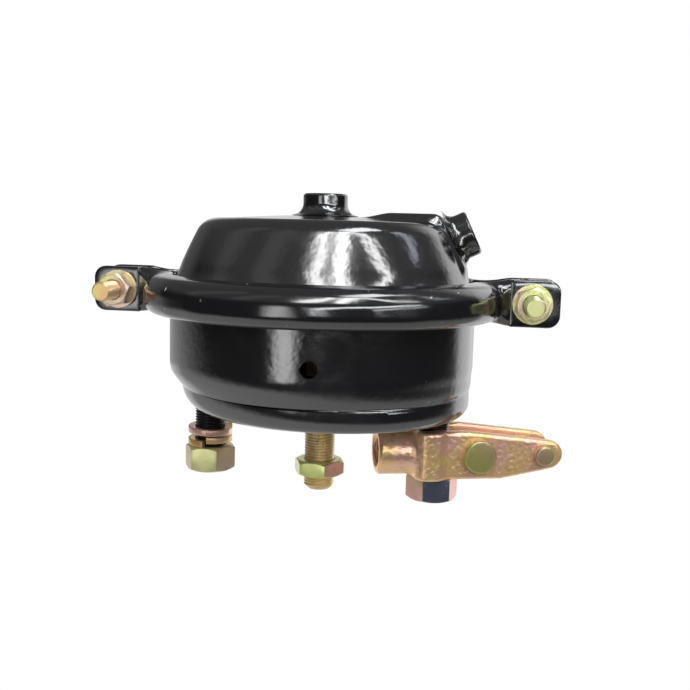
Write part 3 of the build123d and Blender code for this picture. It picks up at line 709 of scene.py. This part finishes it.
springRing = {"outer": 11.8, "inner": 8.1, "thick": 3.4, "rise": 2.4}
lockWashers = {
    "Lower": {**springRing, "start": -85.0, "bottom": -23.95, "metal": "zincGold"},
    "Upper": {**springRing, "start": 15.0, "bottom": -18.1, "metal": "copperPink"},
}
for place, d in lockWashers.items():
    washer = shifted(lockWasher(d), upright, (-stud["x"], 0, 0))
    addPiece("lockWasher" + place, [washer], ["lock_washer_" + place.lower()], plated[d["metal"]])


# ports
def portBoss(d):
    # threaded ring with a weld bead whose width swells and shrinks round the foot
    radius, bore, c, h = d["radius"], d["bore"], d["chamfer"], d["height"]
    bead = [(d["weldRadius"] - (d["weldRadius"] - radius) * math.sin(a),
             d["weldHeight"] * (1 - math.cos(a)) ** 0.9 + 0.05) for a in np.linspace(0, math.pi / 2, 9)]
    wall = [(radius, d["weldHeight"] + 0.4), (radius, h - c - 0.15), (radius - 0.1, h - c + 0.05),
            (radius - c + 0.1, h - 0.08), (radius - c - 0.15, h), (bore + c + 0.1, h), (bore + c - 0.1, h - 0.1)]
    foot = [(bore, -d["liner"]), (bore + 1.3, -d["liner"]), (bore + 1.3, -0.2), (d["weldRadius"] - 0.2, -0.2)]
    outer = np.array(foot + bead + held(np.array(wall)).tolist())
    points = turned(outer, 96)
    nf, nb = len(foot), len(bead)
    weld = points[nf - 1:nf + nb]
    share = np.concatenate([[1.0], np.linspace(1, 0, nb)])[:, None, None] ** 0.7
    t = np.arctan2(weld[..., 1], weld[..., 0])[..., None]
    way = np.concatenate([np.cos(t), np.sin(t), 0 * t], -1)
    swell = lumps(weld * np.array([1, 1, 0.7]), d["lumpSize"], 5)[..., None]
    points[nf - 1:nf + nb] = weld + way * swell * d["lump"] * share
    points[nf:nf + nb, :, 2] += (lumps(points[nf:nf + nb], d["lumpSize"] * 0.8, 9) * d["lump"] * 0.35) * np.sin(
        np.linspace(0, math.pi, nb))[:, None]
    r, z = threadRows(bore + 0.8, -d["liner"], h - c, 0.8, 6, 96)
    return grid(np.concatenate([points, barrel(r[::-1], z[::-1], 96)]), closedRows=True)


topPort = {"radius": 11.5, "bore": 7.2, "chamfer": 0.9, "height": 13.6 - dome["crown"], "weldRadius": 17.2,
           "weldHeight": 5.5, "lump": 0.25, "lumpSize": 9.0, "liner": 5.0}
sidePort = {**topPort, "height": 10.6, "weldRadius": 16.0, "weldHeight": 5.0, "lump": 0.8, "lumpSize": 7.0,
            "liner": 3.0}
addPiece("topPort", [shifted(portBoss(topPort), upright, (0, 0, dome["height"] + dome["crown"]))],
         ["top_port_boss"], glossBlack)
tilt = about("Y", 90 - math.degrees(dome["portAngle"]))
addPiece("sidePort", [shifted(portBoss(sidePort), tilt, padFace)],
         ["side_port_boss"], glossBlack)
print("stage: ports")

# clamp ring
band = {
    "jointZ": drum["jointZ"], "flange": drum["flange"], "slope": drum["slope"], "sheet": 4.0, "gap": 0.05,
    "reach": 90.5, "lowerLip": 80.0, "upperLip": 78.2, "bend": 8.6, "lowBend": 6.2, "lowDrop": 0.9, "lean": 0.4,
    "wave": 0.15, "edge": 1.2, "flareRadius": 8.0, "flareX": 96.84, "flareY": -18.0, "lipRatio": 0.9,
    "bendRatio": 0.55, "earFace": 12.0, "earHeight": 23.5, "earReach": 120.74, "earCorner": 6.0, "earLap": 9.0,
    "lapDeep": 3.9, "lapProud": 0.03, "lapEndSunk": 0.06, "lapHigh": 0.994, "plateEdge": 0.8, "holeEdge": 0.3,
    "boltX": 106.94, "boltHole": 5.5,
}
band["mid"] = drum["flangeMid"] + (
    drum["sheet"] / 2 + band["gap"] + band["sheet"] / 2) / math.cos(drum["flangeAngle"])


def bandSection(part, d):
    # channel section, part (0 to 1) of the way from the ring to the ear: arms shorten, bends tighten, height grows
    ease = eased(part)
    lip = d["lipRatio"] * d["sheet"] * ease
    arms = [(d["reach"] - edge) * (1 - ease) ** 1.5 + lip for edge in (d["lowerLip"], d["upperLip"])]
    drop = d["slope"] * (d["reach"] - d["flange"])
    raw = [(-arms[0], -d["mid"] - d["slope"] * (d["flange"] - d["reach"] + arms[0])),
           (0, drop - d["mid"] - d["lowDrop"]),
           (-d["lean"], d["mid"] - drop), (-arms[1], d["mid"] + d["slope"] * (d["flange"] - d["reach"] + arms[1]))]
    grow = (d["earHeight"] - d["sheet"]) / 2 * ease
    corners = [(x, z * (1 - ease) + math.copysign(grow, z)) for x, z in raw]
    bends = [(bend - d["sheet"] / 2) * (1 - ease) + d["bendRatio"] * d["sheet"] * ease
             for bend in (d["lowBend"], d["bend"])]
    line = roundedLine(corners, bends, arcPoints=9, runPoints=5)
    return sheetLoop(line, d["sheet"], d["edge"], 5)


def bandHalf(d):
    # half of the front channel: x from the middle of the ring out to the right ear
    leave = math.atan2(-d["flareY"], d["flareX"])
    rows = []
    ringSection = bandSection(0, d)
    for t in np.linspace(-math.pi / 2, -leave, 72)[:-1]:
        out = np.array([math.cos(t), math.sin(t)])
        rows.append(np.column_stack([out * (d["reach"] + ringSection[:, :1]), d["jointZ"] + ringSection[:, 1]]))
    start = math.atan2(-d["flareY"], -d["flareX"])
    for part in np.linspace(0, 1, 21):
        t = start + (math.pi / 2 - start) * part
        out = -np.array([math.cos(t), math.sin(t)])
        section = bandSection(part, d)
        spot = np.array([d["flareX"], d["flareY"]]) - out * d["flareRadius"]
        rows.append(np.column_stack([spot + out * section[:, :1], d["jointZ"] + section[:, 1]]))
    last = rows[-1]
    for part in np.linspace(0.1, 1, 8):
        row = last.copy()
        row[:, 0] += d["earLap"] * part
        # it narrows into the ear's plate, and its end lies just under the plate's face
        deep = d["lapDeep"] + d["lipRatio"] * d["sheet"] * (1 - part) ** 1.5
        proud = -d["lapEndSunk"] if part == 1 else d["lapProud"]
        row[:, 1] = np.clip(row[:, 1], -proud - d["earFace"], deep - d["earFace"])
        row[:, 2] = d["jointZ"] + (row[:, 2] - d["jointZ"]) * d["lapHigh"]
        rows.append(row)
    right = np.stack(rows)
    points = np.concatenate([(right[::-1] * np.array([-1, 1, 1]))[:-1], right])
    # slight unevenness of the rolled channel, nothing on the flat ears
    out = points * np.array([1, 1, 0]) / np.hypot(points[..., 0], points[..., 1])[..., None]
    along = np.clip((d["flareX"] - np.abs(points[..., 0])) / 20, 0, 1)[..., None]
    points = points + out * along * d["wave"] * lumps(points, 26.0, 11)[..., None]
    return grid(points, capped=True)


def earPlate(d, sign):
    # rows of loops round the bolt hole: rear mouth, front mouth, front face, edge, rear face
    high = d["earHeight"] / 2
    x0, x1, c = d["flareX"] - 1.0, d["earReach"], d["earCorner"]
    outline = roundedLine(
        [(x1, 0), (x1, high), (x0, high), (x0, -high), (x1, -high), (x1, 0)], [c, 0.4, 0.4, c], 9, 60)
    centre = np.array([d["boltX"], 0])
    aim = np.unwrap(np.arctan2(*(outline - centre).T[::-1]))
    far = np.linalg.norm(outline - centre, axis=1)
    t = roundAngles(120)
    edge = np.interp(t, aim, far, period=2 * math.pi)
    face, back, e, mouth = -d["earFace"], -d["earFace"] + d["sheet"], d["plateEdge"], d["holeEdge"]
    hole = d["boltHole"] + t * 0
    rounding = np.linspace(0, math.pi / 2, 5)
    rows = [(hole, back - mouth), (hole, face + mouth), (hole + mouth, face)]
    rows += [((hole + mouth) * (1 - s) + (edge - e) * s, face) for s in (0.3, 0.6)]
    rows += [(edge - e + e * math.sin(a), face + e - e * math.cos(a)) for a in rounding]
    rows += [(edge - e + e * math.cos(a), back - e + e * math.sin(a)) for a in rounding]
    rows += [((hole + mouth) * (1 - s) + (edge - e) * s, back) for s in (0.6, 0.3)] + [(hole + mouth, back)]
    r, y = (np.stack(part) for part in zip(*[(r, y + 0 * t) for r, y in rows]))
    points = np.stack([sign * (centre[0] + r * np.cos(t)), y, d["jointZ"] + r * np.sin(t)], -1)
    return grid(points, closedRows=True)


frontHalf = [bandHalf(band), earPlate(band, 1), earPlate(band, -1)]
for place, turn in (("Front", 0), ("Rear", 180)):
    half = [shifted(g, about("Z", turn), (0, 0, 0)) for g in frontHalf]
    addPiece("band" + place, half, ["clamp_band_" + place.lower()], bandBlack)
print("stage: clamp ring")

# clamp bolts
clampBolt = {"radius": 5.0, "low": -37.0, "threadTop": -5.0, "depth": 0.75, "chamfer": 1.0,
             "above": [(5.0, -4.5), (5.0, 4.0), (5.0, 12.05)]}
clampHead = nutSizes(17.0, 6.4, 4.6, bore=False, chamferLow=False)
clampNut = nutSizes(16.0, 8.6, 4.6)
washerRing = np.array([(5.3, 0.15), (5.45, 0), (9.8, 0), (10, 0.2), (10, 1.8), (9.8, 2), (5.45, 2), (5.3, 1.85)])
for place, sign, turn, metal in (("Left", -1, 10.0, "zincGold"), ("Right", 1, 20.0, "zincYellow")):
    x, z, low = sign * band["boltX"], band["jointZ"], place.lower()
    head = shifted(hexNut(clampHead), toRear, (x, band["earFace"], z))
    bar = [shifted(g, toRear, (x, 0, z)) for g in threadedBar(clampBolt)]
    addPiece("clampBolt" + place, bar + [head], ["clamp_bolt_" + low], plated[metal])
    ring = shifted(grid(turned(held(washerRing), 72), closedRows=True), toFront, (x, -band["earFace"], z))
    addPiece("clampWasher" + place, [ring], ["clamp_washer_" + low], plated["zincYellow"])
    nut = shifted(hexNut(clampNut), toFront @ about("Z", turn), (x, -band["earFace"] - washerRing[:, 1].max(), z))
    addPiece("clampNut" + place, [nut], ["clamp_nut_" + low], plated["zincYellow"])
print("stage: clamp bolts")

# diaphragm and spring
diaphragm = {"gap": 3.0 + 0.3, "sheet": 3.0, "bend": 8.0, "footBend": 4.0, "bead": 80.0}


def diaphragmCup(d):
    # sheet rubber whose edge swells into the wedge that the flanges grip
    inset = d["gap"] + d["sheet"] / 2
    shift = inset / math.cos(math.atan(dome["cone"]))
    topZ, jointZ = dome["height"] - inset, drum["jointZ"]
    corners = [(0.0, topZ), (dome["base"] - shift - dome["cone"] * (topZ - dome["baseZ"]), topZ),
               (dome["base"] - shift - dome["cone"] * (jointZ - dome["baseZ"]), jointZ), (drum["flange"], jointZ)]
    line = evenly(roundedLine(corners, [d["bend"], d["footBend"]], 9), 3.0)
    swell = np.interp(line[:, 0], [d["bead"] - 1.2, d["bead"], drum["flange"]], [1, 1.8, 1.3])
    n = normalsOf(line) * (d["sheet"] / 2 * np.where(line[:, 1] < jointZ + 2, swell, 1))[:, None]
    loop = np.concatenate([line + n, (line - n)[::-1]])
    loop[:, 0] = np.maximum(loop[:, 0], 0)
    return grid(turned(loop, 160), closedRows=True)


cup = addPiece("diaphragm", [diaphragmCup(diaphragm)], ["diaphragm"], rubberBlack)
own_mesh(cup)

spring = {"wire": 2.5, "foot": 42.05, "top": 34.0, "low": 6.55, "high": 87.6, "turns": 4.5}


def returnSpring(d):
    # round wire along a cone: t = 2 pi turns s, r = foot + (top - foot) s, both ends ground flat
    s = np.linspace(0, 1, int(d["turns"] * 64) + 1)[:, None]
    a = roundAngles(14)
    t = 2 * math.pi * d["turns"] * s
    r = d["foot"] + (d["top"] - d["foot"]) * s + d["wire"] * np.cos(a)
    z = np.clip(d["low"] + (d["high"] - d["low"]) * s + d["wire"] * np.sin(a), d["low"], d["high"])
    return grid(cylindrical(r, t, z), capped=True)


coil = addPiece("returnSpring", [returnSpring(spring)], ["return_spring"], springBlack)
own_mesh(coil)
print("stage: diaphragm and spring")

# yoke and pins
fork = {"z": -19.9, "angle": 17.0, "halfWidth": 14.3, "bigReach": 20.5, "smallReach": 55.4, "pinGap": 0.3,
        "pinTail": 6.8, "splitOut": 2.6, "splitTurn": 82}
forkTurn = about("Z", fork["angle"])
forkBase = Vector((stud["x"], 0, fork["z"]))


def forkPin(d):
    # headed pin along +Z: edges of head and tail bevelled
    e, length = 0.7, 2 * fork["halfWidth"] + fork["pinTail"]
    wide, low, radius = d["headRadius"], -d["head"], d["radius"]
    profile = np.array([
        (wide - e - 0.3, low), (wide - e, low + 0.05), (wide - 0.1, low + e - 0.1), (wide, low + e + 0.2),
        (wide, -0.3), (wide - 0.3, 0), (radius + 0.3, 0), (radius, 0.3),
        (radius, length / 2), (radius, length - e), (radius - e, length)])
    return grid(turned(held(profile), 72), capped=True)


def splitPin(d):
    # half-round wire: up one leg, round the eye and down the other, the legs' tips spread
    s, radius = d["split"], d["radius"]
    eyeRadius, eyeZ = 1.9 * s, radius + 0.05 + 0.8 * s + 1.9 * s
    t = np.linspace(-math.pi / 2 + 0.35, 1.5 * math.pi - 0.35, 25)
    legZ = np.linspace(-radius - 5.0, eyeZ - eyeRadius - 0.3, 12)
    spread = 0.5 * s + np.clip((-radius - 0.5 - legZ) / 4.5, 0, 1) ** 1.5 * 2.4
    right = np.stack([spread, legZ], 1)
    eye = np.stack([eyeRadius * np.cos(t), eyeZ + eyeRadius * np.sin(t)], 1)
    line = np.concatenate([right, eye, right[::-1] * np.array([-1, 1])])
    n = normalsOf(line)
    a = roundAngles(12)
    wire = 0.5 * s * np.stack([np.cos(a), 1.6 * np.sin(a)], 1)
    points = np.stack([
        line[:, :1] + n[:, :1] * wire[:, 0], 0 * line[:, :1] + wire[:, 1], line[:, 1:] + n[:, 1:] * wire[:, 0]], -1)
    return grid(points, capped=True)


# the yoke is a forging of soft joints, so it is meshed from a distance to its surface
forging = {
    "bossRadius": 12.3, "bossReach": 30.7, "mouth": 1.4, "bore": 7.2, "postBack": -12.2, "postFront": 4.6,
    "postOut": 16.4, "postLow": -13.2, "postHigh": 12.2, "postCorner": 6.5, "gap": 8.5, "gapEnd": -8.6,
    "earOut": 14.3, "earEdge": 1.9, "high": 12.3, "highUntil": 17.0, "low": -12.6, "lowUntil": 33.0,
    "tip": 59.0, "tipZ": -0.2, "tipRadius": 7.4, "voxel": 0.62, "rough": 0.05, "bevel": 0.707,
    "postEdge": 1.6, "gapEdge": 1.3, "earStart": -4, "bossJoint": 3.0, "earJoint": 1.5,
    "pinHoles": [(fork["bigReach"], 6.6), (fork["smallReach"], 3.45)],
}


def roundedMax(radius, *parts):
    # intersection of shapes whose shared edges are rounded: length of the positive parts of each + radius
    q = np.stack(parts) + radius
    return np.sqrt((np.maximum(q, 0) ** 2).sum(0)) + np.minimum(q.max(0), 0) - radius


def forgingDistance(p, d):
    # the larger of two distances is an intersection and the smaller a union, with soft edges where forged
    x, y, z = p[..., 0], np.abs(p[..., 1]), p[..., 2]
    r = np.hypot(y, z)
    boss = np.maximum(np.maximum(r - d["bossRadius"], -x - d["bossReach"]), x)
    boss = np.maximum(boss, (r - d["bossRadius"] - x - d["bossReach"] + d["mouth"]) * d["bevel"])
    middle, half = (d["postFront"] + d["postBack"]) / 2, (d["postFront"] - d["postBack"]) / 2
    plan = roundedMax(d["postCorner"], np.abs(x - middle) - half, y - d["postOut"])
    post = roundedMax(d["postEdge"], plan, z - d["postHigh"], d["postLow"] - z)
    # side view of an ear: two straight edges that run into the round tip
    top = np.interp(x, [d["highUntil"], d["tip"] + 1], [d["high"], d["tipZ"] + d["tipRadius"]])
    bottom = np.interp(x, [d["lowUntil"], d["tip"] + 1.5], [d["low"], d["tipZ"] - d["tipRadius"]])
    cap = np.hypot(np.maximum(x - d["tip"], 0), z - d["tipZ"]) - d["tipRadius"]
    side = np.where(x > d["tip"], cap, np.maximum(z - top, bottom - z))
    ear = roundedMax(d["earEdge"], side, y - d["earOut"], d["earStart"] - x)
    whole = softMin(softMin(post, boss, d["bossJoint"]), ear, d["earJoint"])
    whole = roundedMax(d["gapEdge"], whole, -np.maximum(y - d["gap"], d["gapEnd"] - x))
    bored = np.maximum(d["bore"] - r, (d["bore"] + d["mouth"] - r - x - d["bossReach"]) * d["bevel"])
    whole = np.where(x < 0, np.maximum(whole, bored), whole)
    for reach, radius in d["pinHoles"]:
        whole = np.maximum(whole, radius - np.hypot(x - reach, z))
    return whole


def slopeOf(distance, points, nudge):
    # gradient by central differences: (f(p + e) - f(p - e)) / 2 e along each axis
    return np.stack([distance(points + e) - distance(points - e) for e in np.eye(3) * nudge], 1) / (2 * nudge)


def netMesh(distance, low, high, step):
    # one vertex in each grid cell the surface passes through, at the mean of its edges' crossings;
    # a face across each crossed grid edge
    axes = [np.arange(a - step, b + 2 * step, step) for a, b in zip(low, high)]
    field = distance(np.stack(np.meshgrid(*axes, indexing="ij"), -1))
    shape = np.array(field.shape)
    total, count = np.zeros((*(shape - 1), 3)), np.zeros(shape - 1)
    crossed = []
    for axis, (second, third) in enumerate(((1, 2), (0, 2), (0, 1))):
        # views with this axis first, so that one piece of code serves all three
        values, sums, counts = (np.moveaxis(part, axis, 0) for part in (field, total, count))
        a, b = values[:-1], values[1:]
        hit = (a < 0) != (b < 0)
        share = np.where(hit, a / np.where(a == b, 1, a - b), 0)
        crossed.append([np.moveaxis(part, 0, axis) for part in (hit, a < 0)])
        for i in (0, 1):
            for j in (0, 1):
                block = np.s_[:, i:i + shape[second] - 1, j:j + shape[third] - 1]
                sums[..., axis] += share[block] * hit[block]
                sums[..., second] += i * hit[block]
                sums[..., third] += j * hit[block]
                counts += hit[block]
    cells = count > 0
    number = np.full(cells.shape, -1)
    number[cells] = np.arange(cells.sum())
    spots = np.stack(np.nonzero(cells), 1) + total[cells] / count[cells][:, None]
    points = spots * step + np.array([a[0] for a in axes])
    faces = []
    for axis, (hit, fromInside) in enumerate(crossed):
        u, v = (axis + 1) % 3, (axis + 2) % 3
        at = np.stack(np.nonzero(hit), 1)
        at = at[(at[:, u] > 0) & (at[:, v] > 0)]
        stepU, stepV = np.eye(3, dtype=int)[u], np.eye(3, dtype=int)[v]
        ring = [at - stepU - stepV, at - stepV, at, at - stepU]
        quad = np.stack([number[tuple(c.T)] for c in ring], 1)
        flip = ~fromInside[tuple(at.T)]
        quad[flip] = quad[flip][:, ::-1]
        faces.append(quad)
    # the vertices then slide onto the surface along its slope
    for _ in range(4):
        slope = slopeOf(distance, points, 0.02)
        points = points - slope * (distance(points) / np.maximum((slope ** 2).sum(1), 0.2)).clip(-0.3, 0.3)[:, None]
    return points, np.concatenate(faces)


def forgedYoke(d):
    # the net's points, each moved along the surface's normal by a slight unevenness
    def distance(p):
        return forgingDistance(p, d)

    low, high = (-d["bossReach"], -d["postOut"], d["postLow"]), (d["tip"] + d["tipRadius"], d["postOut"], d["high"])
    points, faces = netMesh(distance, low, high, d["voxel"])
    normal = unit(slopeOf(distance, points, 0.3) + 1e-9)
    return points + normal * (d["rough"] * lumps(points, 3.2, 21, 40))[:, None], faces


points, faces = forgedYoke(forging)
forgedMesh = bpy.data.meshes.new("forgedYoke")
forgedMesh.from_pydata(placed(points, forkTurn, forkBase) * mm, [], faces.tolist())
addMesh("forgedYoke", forgedMesh, ["yoke"], plated["yokeGold"], "yoke", crease=50)

boreThread = {"radius": 8.05, "long": 21.0, "depth": 0.8, "sunk": 1.0}
r, z = threadRows(boreThread["radius"], 0.0, boreThread["long"], boreThread["depth"])
bore = grid(np.concatenate([barrel(r, z), barrel(r[-1:] * 0.0, z[-1:])])[::-1])
at = forkBase - forkTurn @ Vector((forging["bossReach"] - boreThread["sunk"], 0, 0))
# the bore's thread is coloured near black: painted shade for the dark inside of the bore
addPiece("yokeThread", [shifted(bore, forkTurn @ about("Y", 90), at)], [], plated["paintedBoreShade"], "yoke")

forkPins = {
    "clevis": {"reach": fork["bigReach"], "radius": 6.35, "headRadius": 8.6, "head": 4.0, "split": 1.6},
    "link": {"reach": fork["smallReach"], "radius": 3.2, "headRadius": 5.2, "head": 3.6, "split": 1.0},
}
for name, d in forkPins.items():
    at = forkBase + forkTurn @ Vector((d["reach"], -fork["halfWidth"] - fork["pinGap"], 0))
    pin = shifted(forkPin(d), forkTurn @ toRear, at)
    addPiece(name + "Pin", [pin], [name + "_pin"], plated["pinGreen"], name + "_pin")
    at = forkBase + forkTurn @ Vector((d["reach"], fork["halfWidth"] + fork["splitOut"], 0))
    wire = shifted(splitPin(d), forkTurn @ about("Y", fork["splitTurn"]), at)
    addPiece(name + "SplitPin", [wire], [name + "_split_pin"], plated["zincGold"], name + "_pin")


for node in ("push_plate", "reinforcement_plate"):
    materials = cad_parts[node].data.materials
    materials.clear()
    materials.append(plated["innerSteel"])
print("stage: yoke and pins")

# camera
cameraSettings = {
    "lens": 47.6,              # mm, on a 36 mm sensor
    "turnRound": 0.161066,     # whole rig turned about the push rod's axis, radians
    "away": 0.47769,           # metres from the push rod's axis
    "height": 0.094616,
    "yaw": 0.0252435, "pitch": 0.1279516, "roll": 0.0277759,
}


def placeCamera(s):
    # forward, right and down of the level camera, then rolled clockwise and turned with the rig
    cy, sy, cp, sp = math.cos(s["yaw"]), math.sin(s["yaw"]), math.cos(s["pitch"]), math.sin(s["pitch"])
    forward = Vector((sy * cp, cy * cp, -sp))
    right = Vector((cy, -sy, 0))
    down = forward.cross(right)
    cr, sr = math.cos(s["roll"]), math.sin(s["roll"])
    right, down = right * cr - down * sr, right * sr + down * cr
    axes = Matrix((right, -down, -forward)).transposed().to_4x4()
    turn = Matrix.Rotation(s["turnRound"], 4, "Z")
    data = bpy.data.cameras.new("camera")
    data.lens = s["lens"]
    data.clip_start, data.clip_end = 0.01, 50
    camera = bpy.data.objects.new("camera", data)
    scene.collection.objects.link(camera)
    camera.matrix_world = turn @ Matrix.Translation((0, -s["away"], s["height"])) @ axes
    scene.camera = camera


placeCamera(cameraSettings)
scene.view_settings.view_transform = "Standard"

# light
softboxes = {
    # azimuth from the camera's side, elevation, distance, wide, high (metres), roll, radiance, colour
    "longStrip": (24.0, 9.0, 1.3, 1.6, 0.11, -12.0, 7.5, (0.97, 0.99, 1.0)),
    "shortStrip": (46.0, 4.0, 1.3, 0.8, 0.05, -10.0, 5.0, (0.97, 0.99, 1.0)),
    "thinRight": (88.0, 42.0, 1.4, 0.16, 0.5, 0.0, 1.9, (0.80, 0.85, 1.0)),
    "ceiling": (64.0, 70.0, 1.4, 0.6, 0.36, 0.0, 6.0, (0.95, 0.98, 1.0)),
    "frontFill": (-20.0, 28.0, 1.3, 0.9, 0.7, 0.0, 2.2, (1.0, 0.99, 0.97)),
    "topFill": (-30.0, 70.0, 1.3, 0.8, 0.8, 0.0, 2.4, (1.0, 0.99, 0.97)),
}
unmirrored = ["frontFill", "topFill"]
front = math.radians(-90) + cameraSettings["turnRound"]


def wayTo(azimuth, elevation):
    t, e = front + math.radians(azimuth), math.radians(elevation)
    return Vector((math.cos(t) * math.cos(e), math.sin(t) * math.cos(e), math.sin(e)))


for name, (azimuth, elevation, away, wide, high, roll, radiance, colour) in softboxes.items():
    data = bpy.data.lights.new(name, "AREA")
    data.shape, data.size, data.size_y, data.color = "RECTANGLE", wide, high, colour
    data.energy = radiance * math.pi * wide * high
    lamp = bpy.data.objects.new(name, data)
    scene.collection.objects.link(lamp)
    lamp.visible_glossy = name not in unmirrored
    spot = wayTo(azimuth, elevation) * away
    lamp.location = spot + Vector((0, 0, 0.05))
    aim = (-spot).to_track_quat("-Z", "Y").to_matrix() @ about("Z", -roll)
    lamp.rotation_euler = aim.to_euler()

world = bpy.data.worlds.new("studio")
scene.world = world
world.use_nodes = True
tree = world.node_tree
sky = Wire(tree, None).node("ShaderNodeTexCoord", {}, {}, "Generated")
gaze = sky.node("ShaderNodeVectorMath", {"operation": "NORMALIZE"}, {0: sky})
wallTurn = 0.12  # of the walls against the camera's direction, radians
toCamera = gaze.reach((math.cos(front + wallTurn), math.sin(front + wallTurn), 0.0))
toRight = gaze.reach((-math.sin(front), math.cos(front), 0.0))
up = gaze.reach((0.0, 0.0, 1.0))
# a bright wall behind the object, darker towards its left, and another on the right
behind = toCamera.step(-0.55, -0.82) * up.step(0.46, 0.24) * 0.95
behind = behind * (1 - toRight.step(-0.12, -0.32) * up.step(-0.2, -0.1) * 0.85)
rightWall = toRight.step(0.2, 0.5) * toCamera.step(-0.25, -0.5) * up.step(0.75, 0.4) * 1.35
softPanes = {
    # azimuth, elevation, half the width and height (as tangents), soft edge, roll, radiance
    "window": (-27.0, -5.0, 0.13, 0.15, 0.09, 0.0, 2.6),
    "first": (-5.0, 46.0, 0.060, 0.34, 0.030, 18.0, 7.0),
    "second": (17.0, 47.0, 0.080, 0.34, 0.030, 18.0, 7.5),
    "third": (50.0, 45.0, 0.045, 0.29, 0.030, -24.0, 7.0),
    "halo": (6.0, 46.0, 0.22, 0.30, 0.16, 18.0, 0.9),
    "dimWide": (-52.0, 42.0, 0.12, 0.34, 0.08, 12.0, 0.14),
    "dimNarrow": (-92.0, 42.0, 0.12, 0.34, 0.08, 12.0, 0.12),
}
panes = 0.0
for azimuth, elevation, wide, high, soft, roll, radiance in softPanes.values():
    out = wayTo(azimuth, elevation)
    side = Matrix.Rotation(math.radians(-roll), 3, out) @ Vector((0, 0, 1)).cross(out).normalized()
    ahead, sideways, higher = (gaze.reach(way) for way in (out, side, out.cross(side)))
    pane = ahead.step(0.05, 0.2) * radiance
    for slant, half in ((sideways / ahead, wide), (higher / ahead, high)):
        pane = pane * slant.step(-half - soft, -half + soft) * slant.step(half + soft, half - soft)
    panes = panes + pane
# a faint ceiling and a floor that shines in front
ceiling = up.step(0.2, 0.5) * 0.12
floor = (-1.0 * up - toCamera * 0.4).step(0.16, 0.5) * (0.5 - toRight * 0.1)
light = 0.022 + panes + ceiling + behind.larger(floor).larger(rightWall)
toEye, mirrored = (sky.node("ShaderNodeLightPath", {}, {}, ray) for ray in ("Is Camera Ray", "Is Glossy Ray"))
# light that nothing mirrors, and white behind the object for the camera
fill = toCamera.step(-0.6, 0.8) * 0.25 + floor * 0.5
light = light + fill * (1 - mirrored)
light = light * (1 - toEye) + toEye
tree.nodes["Background"].inputs["Color"].default_value = (1, 1, 1, 1)
tree.links.new(light.socket, tree.nodes["Background"].inputs["Strength"])
